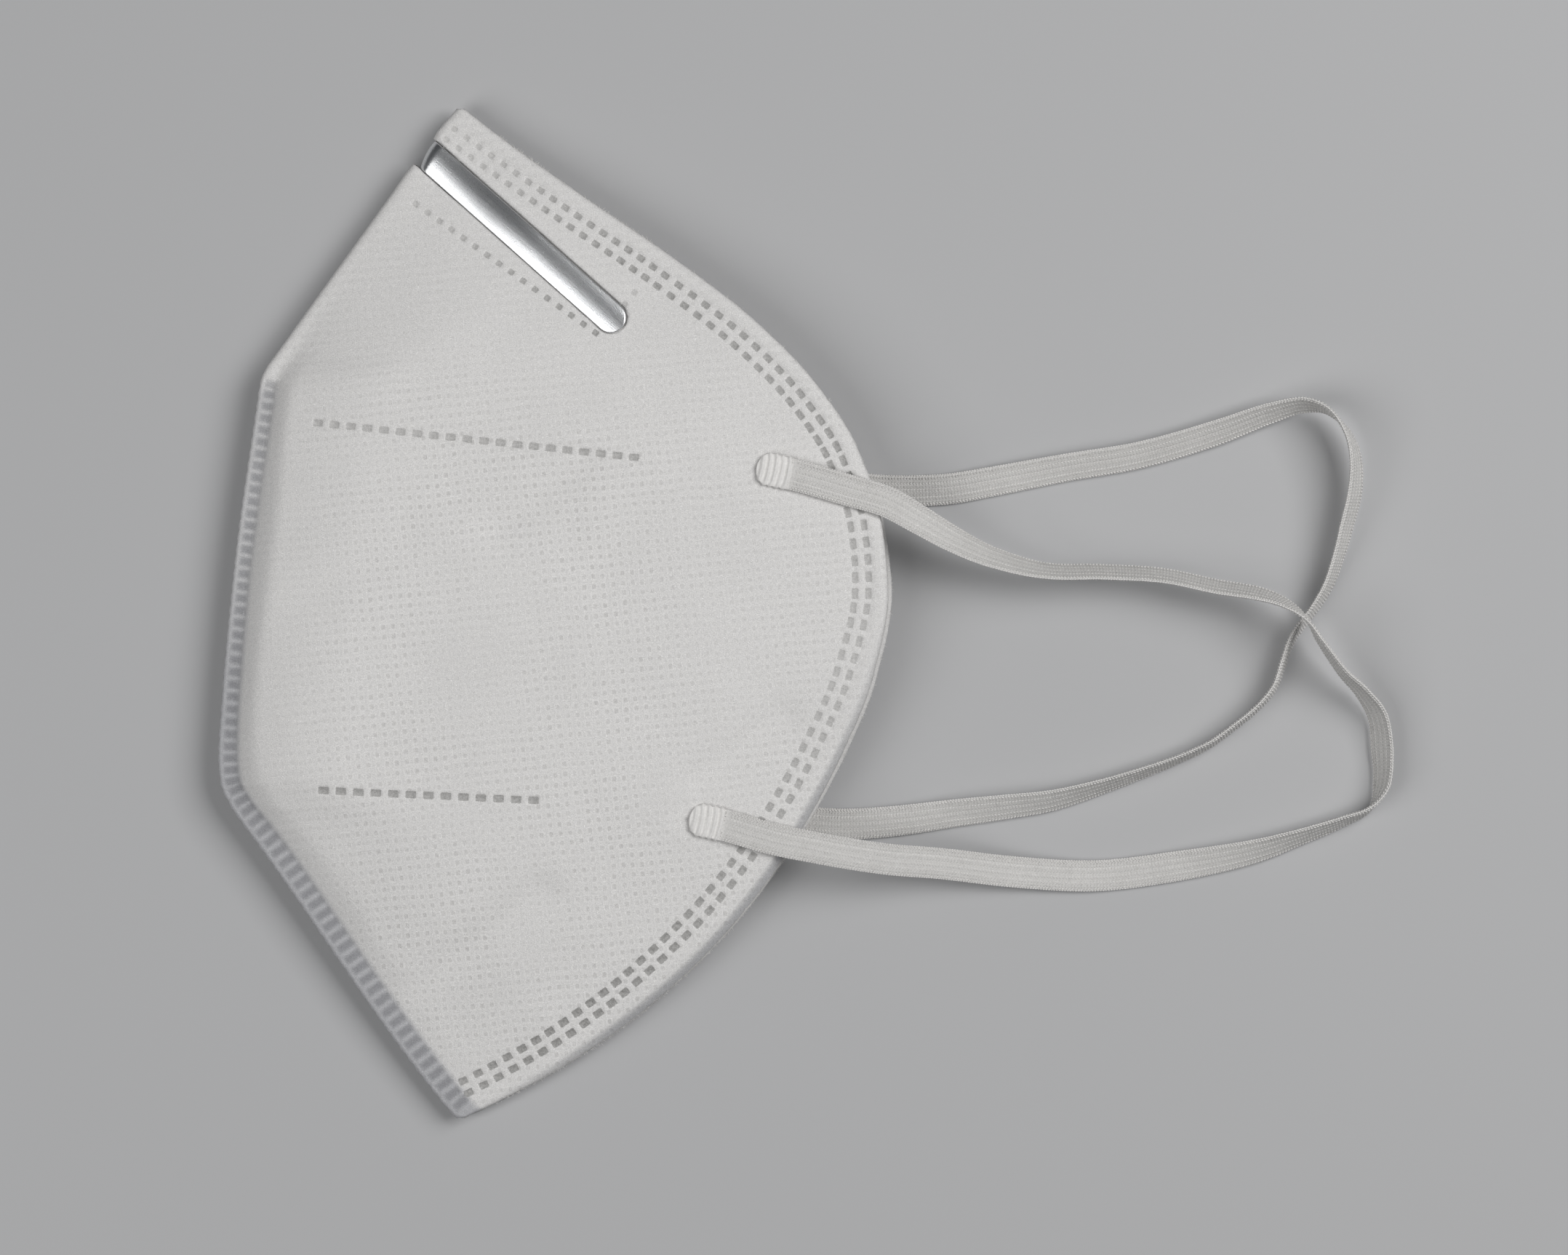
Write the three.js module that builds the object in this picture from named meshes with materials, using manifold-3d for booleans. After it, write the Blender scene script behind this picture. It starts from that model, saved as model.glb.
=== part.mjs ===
// Flat-fold respirator mask, folded in half and lying on its right side, in millimetres.
// X runs from the front seam to the face opening, Y from the chin to the nose, Z up from the surface.
import * as THREE from "three";
import { mergeGeometries, mergeVertices } from "three/addons/utils/BufferGeometryUtils.js";
import Module from "manifold-3d";

const wasm = await Module();
wasm.setup();

// The layered web and its folded size
const LENGTH = 160;
const WALL = 1.4;
const CLEARANCE = 0.3;

// Front edge: x of the nose fold, then of the welded seam, at each height from nose to chin
const FRONT_EDGE = [
  { up: 80, x: -15.6 },
  { up: 75.8, x: -19.0 },
  { up: 73.8, x: -19.8 },
  { up: 71.2, x: -22.5 },
  { up: 66.2, x: -26.1 },
  { up: 41.6, x: -43.7 },
  { up: 38.6, x: -45.8 },
  { up: 36.2, x: -46.7 },
  { up: 33, x: -47.2 },
  { up: 8, x: -50.7 },
  { up: -17, x: -53.0 },
  { up: -22.4, x: -53.3 },
  { up: -26.6, x: -53.0 },
  { up: -30.2, x: -51.5 },
  { up: -34, x: -48.9 },
  { up: -37.4, x: -46.4 },
  { up: -77.6, x: -17.9 },
  { up: -80, x: -15.7 },
];

// Face edge: x of the upper half's rim, and how far the lower half's rim reaches past it
const FACE_EDGE = [
  { up: 80, x: -14.6, peek: 0 },
  { up: 74, x: -6.8, peek: 0 },
  { up: 66, x: 4.4, peek: 0 },
  { up: 56, x: 18.9, peek: 0 },
  { up: 46, x: 31.8, peek: 0 },
  { up: 36, x: 41.4, peek: 0 },
  { up: 26, x: 47.8, peek: 0.1 },
  { up: 14, x: 51.6, peek: 0.5 },
  { up: 3, x: 52.6, peek: 0.7 },
  { up: -10, x: 50.2, peek: 0.7 },
  { up: -22, x: 45.4, peek: 0.7 },
  { up: -36, x: 37.8, peek: 0.5 },
  { up: -50, x: 27.4, peek: 0.4 },
  { up: -62, x: 15.0, peek: 0.3 },
  { up: -71, x: 2.4, peek: 0.2 },
  { up: -77, x: -8.4, peek: 0.1 },
  { up: -80, x: -14.6, peek: 0 },
];

// Heights above the surface: middle of the front edge, crown of the upper half, its rim at the face
const HEIGHTS = [
  { up: 80, mid: 3.4, crown: 4.9, lip: 4.9 },
  { up: 72, mid: 3.8, crown: 6.0, lip: 6.2 },
  { up: 60, mid: 4.2, crown: 8.2, lip: 8.2 },
  { up: 48, mid: 4.6, crown: 10.2, lip: 9.9 },
  { up: 36, mid: 5.0, crown: 11.7, lip: 10.9 },
  { up: 18, mid: 5.2, crown: 12.5, lip: 11.5 },
  { up: -4, mid: 5.2, crown: 12.8, lip: 11.6 },
  { up: -26, mid: 5.0, crown: 12.2, lip: 11.0 },
  { up: -46, mid: 4.4, crown: 10.2, lip: 9.4 },
  { up: -62, mid: 3.7, crown: 7.6, lip: 7.2 },
  { up: -74, mid: 3.1, crown: 5.3, lip: 5.2 },
  { up: -80, mid: 2.8, crown: 4.0, lip: 4.0 },
];

// How the two halves meet at the front, down the nose fold, the side seam and the chin seam:
// thickness, flat hem, share of the upper half's rise that its steep foot has, run of that foot,
// run of the whole rise, and depth to which the halves are shut
const FRONT_FORM = [
  { up: 80, thick: 3.0, flat: 1.5, foot: 0, ramp: 4.0, rise: 26, shut: 5.0 },
  { up: 56, thick: 3.0, flat: 1.5, foot: 0, ramp: 4.0, rise: 22, shut: 5.0 },
  { up: 44, thick: 2.5, flat: 1.9, foot: 0.05, ramp: 4.0, rise: 20, shut: 4.6 },
  { up: 34, thick: 1.8, flat: 2.5, foot: 0.34, ramp: 3.4, rise: 18, shut: 4.0 },
  { up: 13, thick: 1.8, flat: 2.5, foot: 0.4, ramp: 4.6, rise: 18, shut: 4.0 },
  { up: -14, thick: 1.8, flat: 2.6, foot: 0.36, ramp: 3.8, rise: 18, shut: 4.0 },
  { up: -23, thick: 1.8, flat: 2.9, foot: 0.32, ramp: 4.2, rise: 18, shut: 4.2 },
  { up: -40, thick: 1.8, flat: 3.4, foot: 0.28, ramp: 5.0, rise: 20, shut: 4.4 },
  { up: -80, thick: 1.8, flat: 3.4, foot: 0.2, ramp: 5.0, rise: 22, shut: 4.4 },
];
const BLUNT = 0.3;
const LEAN_STEP = 0.5;

// The lower half rests flat in the middle and lifts towards the rim and the front edge
const RIM_LIFT = 1.6;
const LIFT_FLAT = 18;
const LIFT_RUN = 12;
const FAR_RUN = 14;
const CROWN_RUN = 35;

// Soft creases of the upper half, from one end to the other, with their half width and depth
const CREASES = [
  { x0: 22.7, y0: -26.1, x1: 35.9, y1: -16.3, wide: 4, deep: 0.9 },
  { x0: -21.7, y0: -59.6, x1: -2.1, y1: -44.0, wide: 5, deep: 1.0 },
  { x0: -8.5, y0: 13.7, x1: 4.2, y1: 23.5, wide: 4, deep: 0.6 },
  { x0: -37.3, y0: 3.3, x1: -23.5, y1: 11.9, wide: 4, deep: 0.5 },
  { x0: -18.9, y0: -11.1, x1: -2.1, y1: -10.0, wide: 5, deep: 0.5 },
];

// Ribs pressed across the welded seam
const RIB = { pitch: 2.0, wide: 1.0, deep: 0.3, brink: 0.2, first: 35.5, last: -77.5, step: 1 };

// Grid of the outer surface and of the hollow
const BODY_ROWS = 46;
const BODY_COLUMNS = 20;
const COLUMN_GRADE = 1.45;
const HOLLOW_ROWS = 28;
const HOLLOW_COLUMNS = 11;
const HOLLOW_ENDS = { top: 74, bottom: -74 };
const HOLLOW_PAST_RIM = 6;
const SLIT = 0.4;
const SAME_POINT = 1e-4;

// Nose strip: its round end on the upper half, its heading to the fold and its section
const STRIP = { endX: 10.8, endY: 45.0, heading: 138.2, reach: 39.9, wide: 4.8, thick: 0.9, seat: 0.1 };
const STRIP_BEND_STEPS = 8;
const STRIP_SIDE_STEPS = 9;
const STRIP_ROUND_STEPS = 4;
const STRIP_CROWN = 0.15;
const SEAT_OUTWARD = 3;

// Ear loops: flat elastic band, with points chosen along its middle
const BAND = { wide: 5.3, thick: 0.8, chamfer: 0.25, steps: 40 };

// Left loop: lift is the height of the band's lower edge, roll its turn about its own length in degrees,
// which raises the left edge if positive and the right edge if negative
const LEFT_LOOP = [
  { x: 32.0, y: 23.1, lift: 11.9, roll: 0 },
  { x: 39.0, y: 21.5, lift: 11.9, roll: 0 },
  { x: 46.3, y: 19.4, lift: 11.8, roll: 0 },
  { x: 52.4, y: 17.6, lift: 11.3, roll: -6 },
  { x: 57.0, y: 15.1, lift: 9.6, roll: -18 },
  { x: 63.4, y: 11.5, lift: 7.2, roll: -34 },
  { x: 69.3, y: 8.9, lift: 5.2, roll: -48 },
  { x: 77.6, y: 6.8, lift: 3.6, roll: -60 },
  { x: 86.9, y: 6.6, lift: 2.8, roll: -62 },
  { x: 96.4, y: 6.0, lift: 2.8, roll: -63 },
  { x: 104.6, y: 4.3, lift: 3.2, roll: -63 },
  { x: 112.3, y: 2.9, lift: 4.2, roll: -66 },
  { x: 116.3, y: 1.1, lift: 5.2, roll: -75 },
  { x: 119.0, y: -1.2, lift: 5.8, roll: -86 },
  { x: 121.1, y: -4.4, lift: 5.2, roll: -95 },
  { x: 124.7, y: -9.2, lift: 3.2, roll: -101 },
  { x: 128.1, y: -12.6, lift: 1.6, roll: -110 },
  { x: 130.5, y: -16.2, lift: 0.6, roll: -124 },
  { x: 131.3, y: -21.5, lift: 0.3, roll: -130 },
  { x: 131.2, y: -27.2, lift: 0.2, roll: -116 },
  { x: 129.4, y: -30.9, lift: 0.2, roll: -82 },
  { x: 125.0, y: -33.0, lift: 0.2, roll: -70 },
  { x: 118.4, y: -35.4, lift: 0.2, roll: -58 },
  { x: 110.9, y: -37.8, lift: 0.2, roll: -38 },
  { x: 98.5, y: -40.2, lift: 0.2, roll: -12 },
  { x: 86.0, y: -41.7, lift: 0.3, roll: 0 },
  { x: 73.5, y: -41.1, lift: 1.4, roll: 0 },
  { x: 61.2, y: -39.6, lift: 4.4, roll: 0 },
  { x: 52.7, y: -38.8, lift: 7.2, roll: 0 },
  { x: 46.3, y: -37.8, lift: 9.0, roll: 0 },
  { x: 40.5, y: -36.7, lift: 10.3, roll: 0 },
  { x: 34.2, y: -35.4, lift: 10.7, roll: 0 },
  { x: 27.3, y: -33.4, lift: 10.9, roll: 0 },
  { x: 21.4, y: -32.1, lift: 11.1, roll: 0 },
];

// Right loop, from under the upper part of the mask round to under its lower part
const RIGHT_LOOP = [
  { x: 32.0, y: 23.1, lift: 0.45, roll: 0 },
  { x: 41.1, y: 21.2, lift: 0.45, roll: 0 },
  { x: 50.9, y: 19.7, lift: 0.2, roll: 0 },
  { x: 61.9, y: 19.8, lift: 0.1, roll: 8 },
  { x: 69.3, y: 21.0, lift: 0.1, roll: 18 },
  { x: 81.0, y: 23.2, lift: 0.1, roll: 28 },
  { x: 92.8, y: 25.2, lift: 0.2, roll: 31 },
  { x: 104.6, y: 28.6, lift: 0.6, roll: 36 },
  { x: 113.4, y: 31.8, lift: 1.2, roll: 50 },
  { x: 118.8, y: 33.1, lift: 1.9, roll: 64 },
  { x: 122.2, y: 32.3, lift: 2.5, roll: 84 },
  { x: 125.2, y: 29.2, lift: 2.8, roll: 102 },
  { x: 126.7, y: 25.2, lift: 2.7, roll: 114 },
  { x: 126.8, y: 19.7, lift: 2.2, roll: 120 },
  { x: 125.5, y: 13.8, lift: 1.4, roll: 118 },
  { x: 124.3, y: 9.1, lift: 0.8, roll: 114 },
  { x: 122.6, y: 4.3, lift: 0.2, roll: 110 },
  { x: 120.5, y: 0.9, lift: 0.1, roll: 107 },
  { x: 118.8, y: -1.4, lift: 0.1, roll: 105 },
  { x: 116.9, y: -4.2, lift: 0.1, roll: 104 },
  { x: 115.6, y: -7.6, lift: 0.1, roll: 102 },
  { x: 114.2, y: -11.6, lift: 0.1, roll: 101 },
  { x: 111.6, y: -14.8, lift: 0.1, roll: 100 },
  { x: 107.6, y: -18.1, lift: 0.1, roll: 100 },
  { x: 103.8, y: -20.8, lift: 0.1, roll: 101 },
  { x: 98.7, y: -23.2, lift: 0.1, roll: 104 },
  { x: 92.8, y: -25.4, lift: 0.1, roll: 110 },
  { x: 86.9, y: -27.4, lift: 0.1, roll: 118 },
  { x: 78.7, y: -29.7, lift: 0.1, roll: 134 },
  { x: 71.6, y: -30.7, lift: 0.1, roll: 144 },
  { x: 63.4, y: -31.7, lift: 0.1, roll: 154 },
  { x: 54.6, y: -32.9, lift: 0.1, roll: 168 },
  { x: 45.7, y: -33.5, lift: 0.2, roll: 178 },
  { x: 38.0, y: -33.0, lift: 0.4, roll: 180 },
  { x: 29.6, y: -32.4, lift: 0.45, roll: 180 },
  { x: 21.4, y: -32.1, lift: 0.45, roll: 180 },
];

// Finishes of the pieces
const WEB = { color: 0xe9e8e4, roughness: 0.85, metalness: 0 };
const ALUMINIUM = { color: 0xc9ccd0, roughness: 0.32, metalness: 1 };
const ELASTIC = { color: 0xf1f1ee, roughness: 0.8, metalness: 0 };

const { clamp, lerp, degToRad } = THREE.MathUtils;

// Smooth step from 0 to 1
const ease = (t) => THREE.MathUtils.smoothstep(t, 0, 1);

// Slope of a table's column between row i and the next
function chord(rows, column, i) {
  return (rows[i + 1][column] - rows[i][column]) / (rows[i + 1].up - rows[i].up);
}

// Slope of the smooth curve at row i: level where the column turns
function slopeAt(rows, column, i) {
  const before = chord(rows, column, Math.max(i - 1, 0));
  const after = chord(rows, column, Math.min(i, rows.length - 2));
  return before * after > 0 ? (2 * before * after) / (before + after) : 0;
}

// Value of a column at a height, on a curve through the rows that doesn't overshoot them
function tableValue(rows, column, up) {
  const below = rows.findIndex((row) => row.up < up);
  const i = below < 0 ? rows.length - 2 : Math.max(below - 1, 0);
  const step = rows[i + 1].up - rows[i].up;
  const t = clamp((up - rows[i].up) / step, 0, 1);
  const start = rows[i][column] * (1 + 2 * t) * (1 - t) ** 2;
  const end = rows[i + 1][column] * t * t * (3 - 2 * t);
  const bend = slopeAt(rows, column, i) * t * (1 - t) ** 2 - slopeAt(rows, column, i + 1) * t * t * (1 - t);
  return start + end + bend * step;
}

// Cosine of an edge's lean, which turns a level distance into one square to the edge
function squareness(rows, up) {
  const ahead = tableValue(rows, "x", up + LEAN_STEP);
  const behind = tableValue(rows, "x", up - LEAN_STEP);
  return 1 / Math.hypot(1, (ahead - behind) / (2 * LEAN_STEP));
}

// Distances of a point from the front edge and from the rim
function insets(x, up) {
  return {
    front: (x - tableValue(FRONT_EDGE, "x", up)) * squareness(FRONT_EDGE, up),
    face: (tableValue(FACE_EDGE, "x", up) - x) * squareness(FACE_EDGE, up),
  };
}

// Rise that starts at once and levels off
function rounded(t) {
  return Math.sin((Math.PI / 2) * clamp(t, 0, 1));
}

// Half the thickness of the front edge at a distance in from its blunt, rounded brink
function hemHalf(front, thick) {
  const t = clamp((2 * front) / thick, 0, 1);
  return (thick / 2) * lerp(BLUNT, 1, Math.sqrt(1 - (1 - t) ** 2));
}

// Depth of the creases at a point
function creaseDepth(x, y) {
  let depth = 0;
  for (const crease of CREASES) {
    const along = new THREE.Vector2(crease.x1 - crease.x0, crease.y1 - crease.y0);
    const from = new THREE.Vector2(x - crease.x0, y - crease.y0);
    const share = clamp(from.dot(along) / along.lengthSq(), 0, 1);
    const off = from.addScaledVector(along, -share).length();
    depth += crease.deep * Math.exp(-((off / crease.wide) ** 2));
  }
  return depth;
}

// Outer surface of the upper half
function nearHeight(x, up) {
  const { front, face } = insets(x, up);
  const thick = tableValue(FRONT_FORM, "thick", up);
  const flat = tableValue(FRONT_FORM, "flat", up);
  const mid = tableValue(HEIGHTS, "mid", up);
  const lip = tableValue(HEIGHTS, "lip", up);
  const crown = tableValue(HEIGHTS, "crown", up);
  const top = lerp(lip, crown, ease(face / CROWN_RUN)) - creaseDepth(x, up);
  const foot = tableValue(FRONT_FORM, "foot", up);
  const steep = rounded((front - flat) / tableValue(FRONT_FORM, "ramp", up));
  const gentle = rounded((front - flat) / tableValue(FRONT_FORM, "rise", up));
  return mid + hemHalf(front, thick) + (top - mid - thick / 2) * lerp(gentle, steep, foot);
}

// Outer surface of the lower half, level with the ground where it rests
function farHeight(x, up) {
  const { front, face } = insets(x, up);
  const hem = tableValue(HEIGHTS, "mid", up) - hemHalf(front, tableValue(FRONT_FORM, "thick", up));
  const lift = RIM_LIFT * (1 - ease((face - LIFT_FLAT) / LIFT_RUN));
  return hem + (lift - hem) * ease((front - tableValue(FRONT_FORM, "flat", up)) / FAR_RUN);
}

// Box of unit size whose points are moved by place(across, along, upper)
function shapedBlock(columns, rows, place) {
  const block = new THREE.BoxGeometry(1, 1, 1, columns, rows, 1);
  const points = block.attributes.position;
  for (let i = 0; i < points.count; i += 1) {
    const at = place(points.getX(i) + 0.5, points.getY(i) + 0.5, points.getZ(i) > 0);
    points.setXYZ(i, at.x, at.y, at.z);
  }
  return block;
}

// Closed skin through rings of points, with a flat cap on each end
function loft(rings) {
  const sides = rings[0].length;
  const last = (rings.length - 1) * sides;
  const faces = [];
  for (let r = 0; r < rings.length - 1; r += 1) {
    for (let k = 0; k < sides; k += 1) {
      const a = r * sides + k;
      const b = r * sides + ((k + 1) % sides);
      faces.push(a, b, b + sides, a, b + sides, a + sides);
    }
  }
  for (let k = 1; k < sides - 1; k += 1) {
    faces.push(0, k + 1, k, last, last + k, last + k + 1);
  }
  return new THREE.BufferGeometry().setFromPoints(rings.flat()).setIndex(faces);
}

// Closed geometry as a solid that can be joined and cut
function solidOf(geometry) {
  const bare = geometry.clone();
  bare.deleteAttribute("normal");
  bare.deleteAttribute("uv");
  const merged = mergeVertices(bare, SAME_POINT);
  const vertProperties = new Float32Array(merged.attributes.position.array);
  const triVerts = new Uint32Array(merged.index.array);
  return new wasm.Manifold(new wasm.Mesh({ numProp: 3, vertProperties, triVerts }));
}

// Geometry of a solid
function geometryOf(solid) {
  const { vertProperties, triVerts } = solid.getMesh();
  const geometry = new THREE.BufferGeometry();
  geometry.setAttribute("position", new THREE.BufferAttribute(vertProperties, 3));
  geometry.setIndex(new THREE.BufferAttribute(triVerts, 1));
  geometry.computeVertexNormals();
  return geometry;
}

// Outside of the folded web, before it is hollowed
function outerBlock() {
  return shapedBlock(BODY_COLUMNS, BODY_ROWS, (across, along, upper) => {
    const up = lerp(-LENGTH / 2, LENGTH / 2, along);
    const rim = tableValue(FACE_EDGE, "x", up) + (upper ? 0 : tableValue(FACE_EDGE, "peek", up));
    const x = lerp(tableValue(FRONT_EDGE, "x", up), rim, across ** COLUMN_GRADE);
    return { x, y: up, z: upper ? nearHeight(x, up) : farHeight(x, up) };
  });
}

// Hollow between the two halves, which runs out past the rim
function hollowBlock() {
  return shapedBlock(HOLLOW_COLUMNS, HOLLOW_ROWS, (across, along, upper) => {
    const up = lerp(HOLLOW_ENDS.bottom, HOLLOW_ENDS.top, along);
    const rim = tableValue(FACE_EDGE, "x", up);
    const shut = tableValue(FRONT_FORM, "shut", up) / squareness(FRONT_EDGE, up);
    const x = lerp(tableValue(FRONT_EDGE, "x", up) + shut, rim + HOLLOW_PAST_RIM, across ** COLUMN_GRADE);
    const inside = Math.min(x, rim) - WALL;
    const ceiling = nearHeight(inside, up) - WALL;
    const floor = farHeight(inside, up) + WALL;
    const half = Math.max(ceiling - floor, SLIT) / 2;
    return { x, y: up, z: (ceiling + floor) / 2 + (upper ? half : -half) };
  });
}

// Grooves between the ribs of the front seam, on both faces of its hem
function ribGrooves() {
  const ups = [];
  for (let up = RIB.first; up > RIB.last; up -= RIB.step) {
    ups.push(new THREE.Vector2(tableValue(FRONT_EDGE, "x", up), up));
  }
  const seam = new THREE.SplineCurve(ups);
  const count = Math.round(seam.getLength() / RIB.pitch);
  const grooves = [];
  for (let i = 0; i <= count; i += 1) {
    const at = seam.getPointAt(i / count);
    const run = seam.getTangentAt(i / count);
    const inward = new THREE.Vector2(-run.y, run.x);
    const centre = at.clone().addScaledVector(inward, tableValue(FRONT_FORM, "flat", at.y) / 2);
    const long = tableValue(FRONT_FORM, "flat", at.y) - 2 * RIB.brink;
    const mid = tableValue(HEIGHTS, "mid", at.y);
    const half = tableValue(FRONT_FORM, "thick", at.y) / 2;
    for (const face of [half, -half]) {
      const groove = new THREE.BoxGeometry(long, RIB.wide, 2 * RIB.deep);
      groove.rotateZ(inward.angle());
      groove.translate(centre.x, centre.y, mid + face);
      grooves.push(groove);
    }
  }
  return mergeGeometries(grooves);
}

// Places along one half of the nose strip, from its round end to the bend, with the half width at each
function stripSide() {
  const round = STRIP.wide / 2;
  const places = [];
  for (let k = 1; k <= STRIP_ROUND_STEPS; k += 1) {
    const turn = ((Math.PI / 2) * k) / STRIP_ROUND_STEPS;
    places.push({ run: STRIP.reach - round * (1 - Math.cos(turn)), half: round * Math.sin(turn) });
  }
  for (let k = 1; k <= STRIP_SIDE_STEPS; k += 1) {
    places.push({ run: (STRIP.reach - round) * (1 - k / STRIP_SIDE_STEPS), half: round });
  }
  return places;
}

// Middle line of the nose strip: along the upper half, round the fold and back along the lower half
function stripLine() {
  const heading = degToRad(STRIP.heading);
  const plan = (run) => ({
    x: STRIP.endX + (STRIP.reach - run) * Math.cos(heading),
    y: STRIP.endY + (STRIP.reach - run) * Math.sin(heading),
  });
  const upper = ({ x, y }) => new THREE.Vector3(x, y, nearHeight(x, y) + STRIP.seat);
  const lower = ({ x, y }) => new THREE.Vector3(x, y, farHeight(x, y) - STRIP.seat);
  const side = stripSide();
  const top = upper(plan(0));
  const bottom = lower(plan(0));
  const bend = (top.z - bottom.z) / 2;
  const line = side.map(({ run, half }) => ({ at: upper(plan(run)), half }));
  for (let k = 1; k < STRIP_BEND_STEPS; k += 1) {
    const turn = (Math.PI * k) / STRIP_BEND_STEPS;
    const { x, y } = plan(-bend * Math.sin(turn));
    line.push({ at: new THREE.Vector3(x, y, bottom.z + bend * (1 + Math.cos(turn))), half: STRIP.wide / 2 });
  }
  for (const { run, half } of side.toReversed()) {
    line.push({ at: lower(plan(run)), half });
  }
  return line;
}

// Nose strip, grown all round by a clearance and outwards by a further height
function stripGeometry(grow, outward) {
  const heading = degToRad(STRIP.heading);
  const across = new THREE.Vector3(-Math.sin(heading), Math.cos(heading), 0);
  const line = stripLine();
  const inside = -STRIP.thick / 2 - grow;
  const outside = STRIP.thick / 2 + grow + outward;
  const rings = line.map(({ at, half }, i) => {
    const before = line[Math.max(i - 1, 0)].at;
    const after = line[Math.min(i + 1, line.length - 1)].at;
    const out = after.clone().sub(before).normalize().cross(across);
    const wide = half + grow;
    const section = [
      [-wide, inside],
      [wide, inside],
      [wide, outside - STRIP_CROWN],
      [0, outside],
      [-wide, outside - STRIP_CROWN],
    ];
    return section.map(([a, b]) => at.clone().addScaledVector(across, a).addScaledVector(out, b));
  });
  return loft(rings);
}

// Route of a flat band that turns about its own length as it goes
class BandRoute extends THREE.CatmullRomCurve3 {
  constructor(rows) {
    const points = rows.map(({ x, y, lift, roll }) => {
      const turn = degToRad(roll);
      const half = (BAND.wide / 2) * Math.abs(Math.sin(turn)) + (BAND.thick / 2) * Math.abs(Math.cos(turn));
      return new THREE.Vector3(x, y, lift + half);
    });
    super(points, false, "centripetal");
    this.rolls = rows.map((row) => degToRad(row.roll));
  }

  // Turn of the band at a share of its length
  rollAt(share) {
    const place = this.getUtoTmapping(share) * (this.rolls.length - 1);
    const i = Math.min(Math.floor(place), this.rolls.length - 2);
    return lerp(this.rolls[i], this.rolls[i + 1], place - i);
  }

  // Directions of the band at each step: along it, across its width and through its thickness
  computeFrenetFrames(segments) {
    const frames = { tangents: [], normals: [], binormals: [] };
    for (let i = 0; i <= segments; i += 1) {
      const tangent = this.getTangentAt(i / segments);
      const width = new THREE.Vector3(-tangent.y, tangent.x, 0).normalize();
      width.applyAxisAngle(tangent, this.rollAt(i / segments));
      frames.tangents.push(tangent);
      frames.normals.push(width);
      frames.binormals.push(tangent.clone().cross(width));
    }
    return frames;
  }
}

// Flat elastic band along a route, grown all round by a clearance
function bandGeometry(rows, grow) {
  const wide = BAND.wide / 2 + grow;
  const thick = BAND.thick / 2 + grow;
  const section = new THREE.Shape();
  section.moveTo(wide, BAND.chamfer - thick);
  section.lineTo(wide, thick - BAND.chamfer);
  section.lineTo(wide - BAND.chamfer, thick);
  section.lineTo(BAND.chamfer - wide, thick);
  section.lineTo(-wide, thick - BAND.chamfer);
  section.lineTo(-wide, BAND.chamfer - thick);
  section.lineTo(BAND.chamfer - wide, -thick);
  section.lineTo(wide - BAND.chamfer, -thick);
  return new THREE.ExtrudeGeometry(section, { steps: BAND.steps, extrudePath: new BandRoute(rows) });
}

// Folded web: hollowed, ribbed along its seam, and pressed in under the strip and the loop's ends
function bodyGeometry() {
  const body = solidOf(outerBlock())
    .subtract(solidOf(hollowBlock()))
    .subtract(solidOf(ribGrooves()))
    .subtract(solidOf(stripGeometry(CLEARANCE, SEAT_OUTWARD)))
    .subtract(solidOf(bandGeometry(LEFT_LOOP, CLEARANCE)));
  return geometryOf(body);
}

// Mesh of a piece with its own material
function piece(name, geometry, finish) {
  const mesh = new THREE.Mesh(geometry, new THREE.MeshStandardMaterial(finish));
  mesh.name = name;
  return mesh;
}

const mask = new THREE.Group();
mask.add(
  piece("mask_body", bodyGeometry(), WEB),
  piece("nose_strip", stripGeometry(0, 0), ALUMINIUM),
  piece("left_ear_loop", bandGeometry(LEFT_LOOP, 0), ELASTIC),
  piece("right_ear_loop", bandGeometry(RIGHT_LOOP, 0), ELASTIC),
);

export default mask;
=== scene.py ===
"""Flat-fold respirator mask, folded in half and lying on its right side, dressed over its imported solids.

Sizes and tables are in millimetres and meshes in metres. X runs from the front seam to the face opening,
Y from the chin to the nose, Z up from the surface that the mask lies on.
"""

import itertools
import logging
import math
from dataclasses import dataclass, field
from enum import Enum
from functools import cached_property
from typing import Any

import bmesh
import bpy
import numpy as np
from mathutils import Matrix, Vector, kdtree, noise
from mathutils.geometry import delaunay_2d_cdt


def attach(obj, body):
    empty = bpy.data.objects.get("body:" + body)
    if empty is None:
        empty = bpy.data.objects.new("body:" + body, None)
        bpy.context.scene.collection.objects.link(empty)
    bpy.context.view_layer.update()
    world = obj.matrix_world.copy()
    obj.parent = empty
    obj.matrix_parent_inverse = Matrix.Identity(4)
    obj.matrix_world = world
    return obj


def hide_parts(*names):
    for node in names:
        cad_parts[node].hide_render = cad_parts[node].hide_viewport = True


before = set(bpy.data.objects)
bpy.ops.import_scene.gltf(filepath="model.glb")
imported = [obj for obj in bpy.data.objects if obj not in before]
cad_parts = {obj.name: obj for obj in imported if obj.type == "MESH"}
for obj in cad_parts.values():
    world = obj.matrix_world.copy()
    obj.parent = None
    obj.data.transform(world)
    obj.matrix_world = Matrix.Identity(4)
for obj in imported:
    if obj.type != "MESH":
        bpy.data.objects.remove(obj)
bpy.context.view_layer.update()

LOG = logging.getLogger("respirator_mask")
MM = 0.001
BODY = "root"

Array = np.ndarray
Colour = tuple[float, float, float, float]
Span = tuple[float, float]
Sizes = tuple[float, float, float]
Shape = tuple[list, list]


class Half(Enum):
    """The two halves of the folded web: the sign is the way that their outside faces."""

    NEAR = 1
    FAR = -1


class Slot(Enum):
    """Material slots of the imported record."""

    WEB = "nonwoven_web"
    ALUMINIUM = "bare_aluminium"
    ELASTIC = "knitted_elastic"


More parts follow.
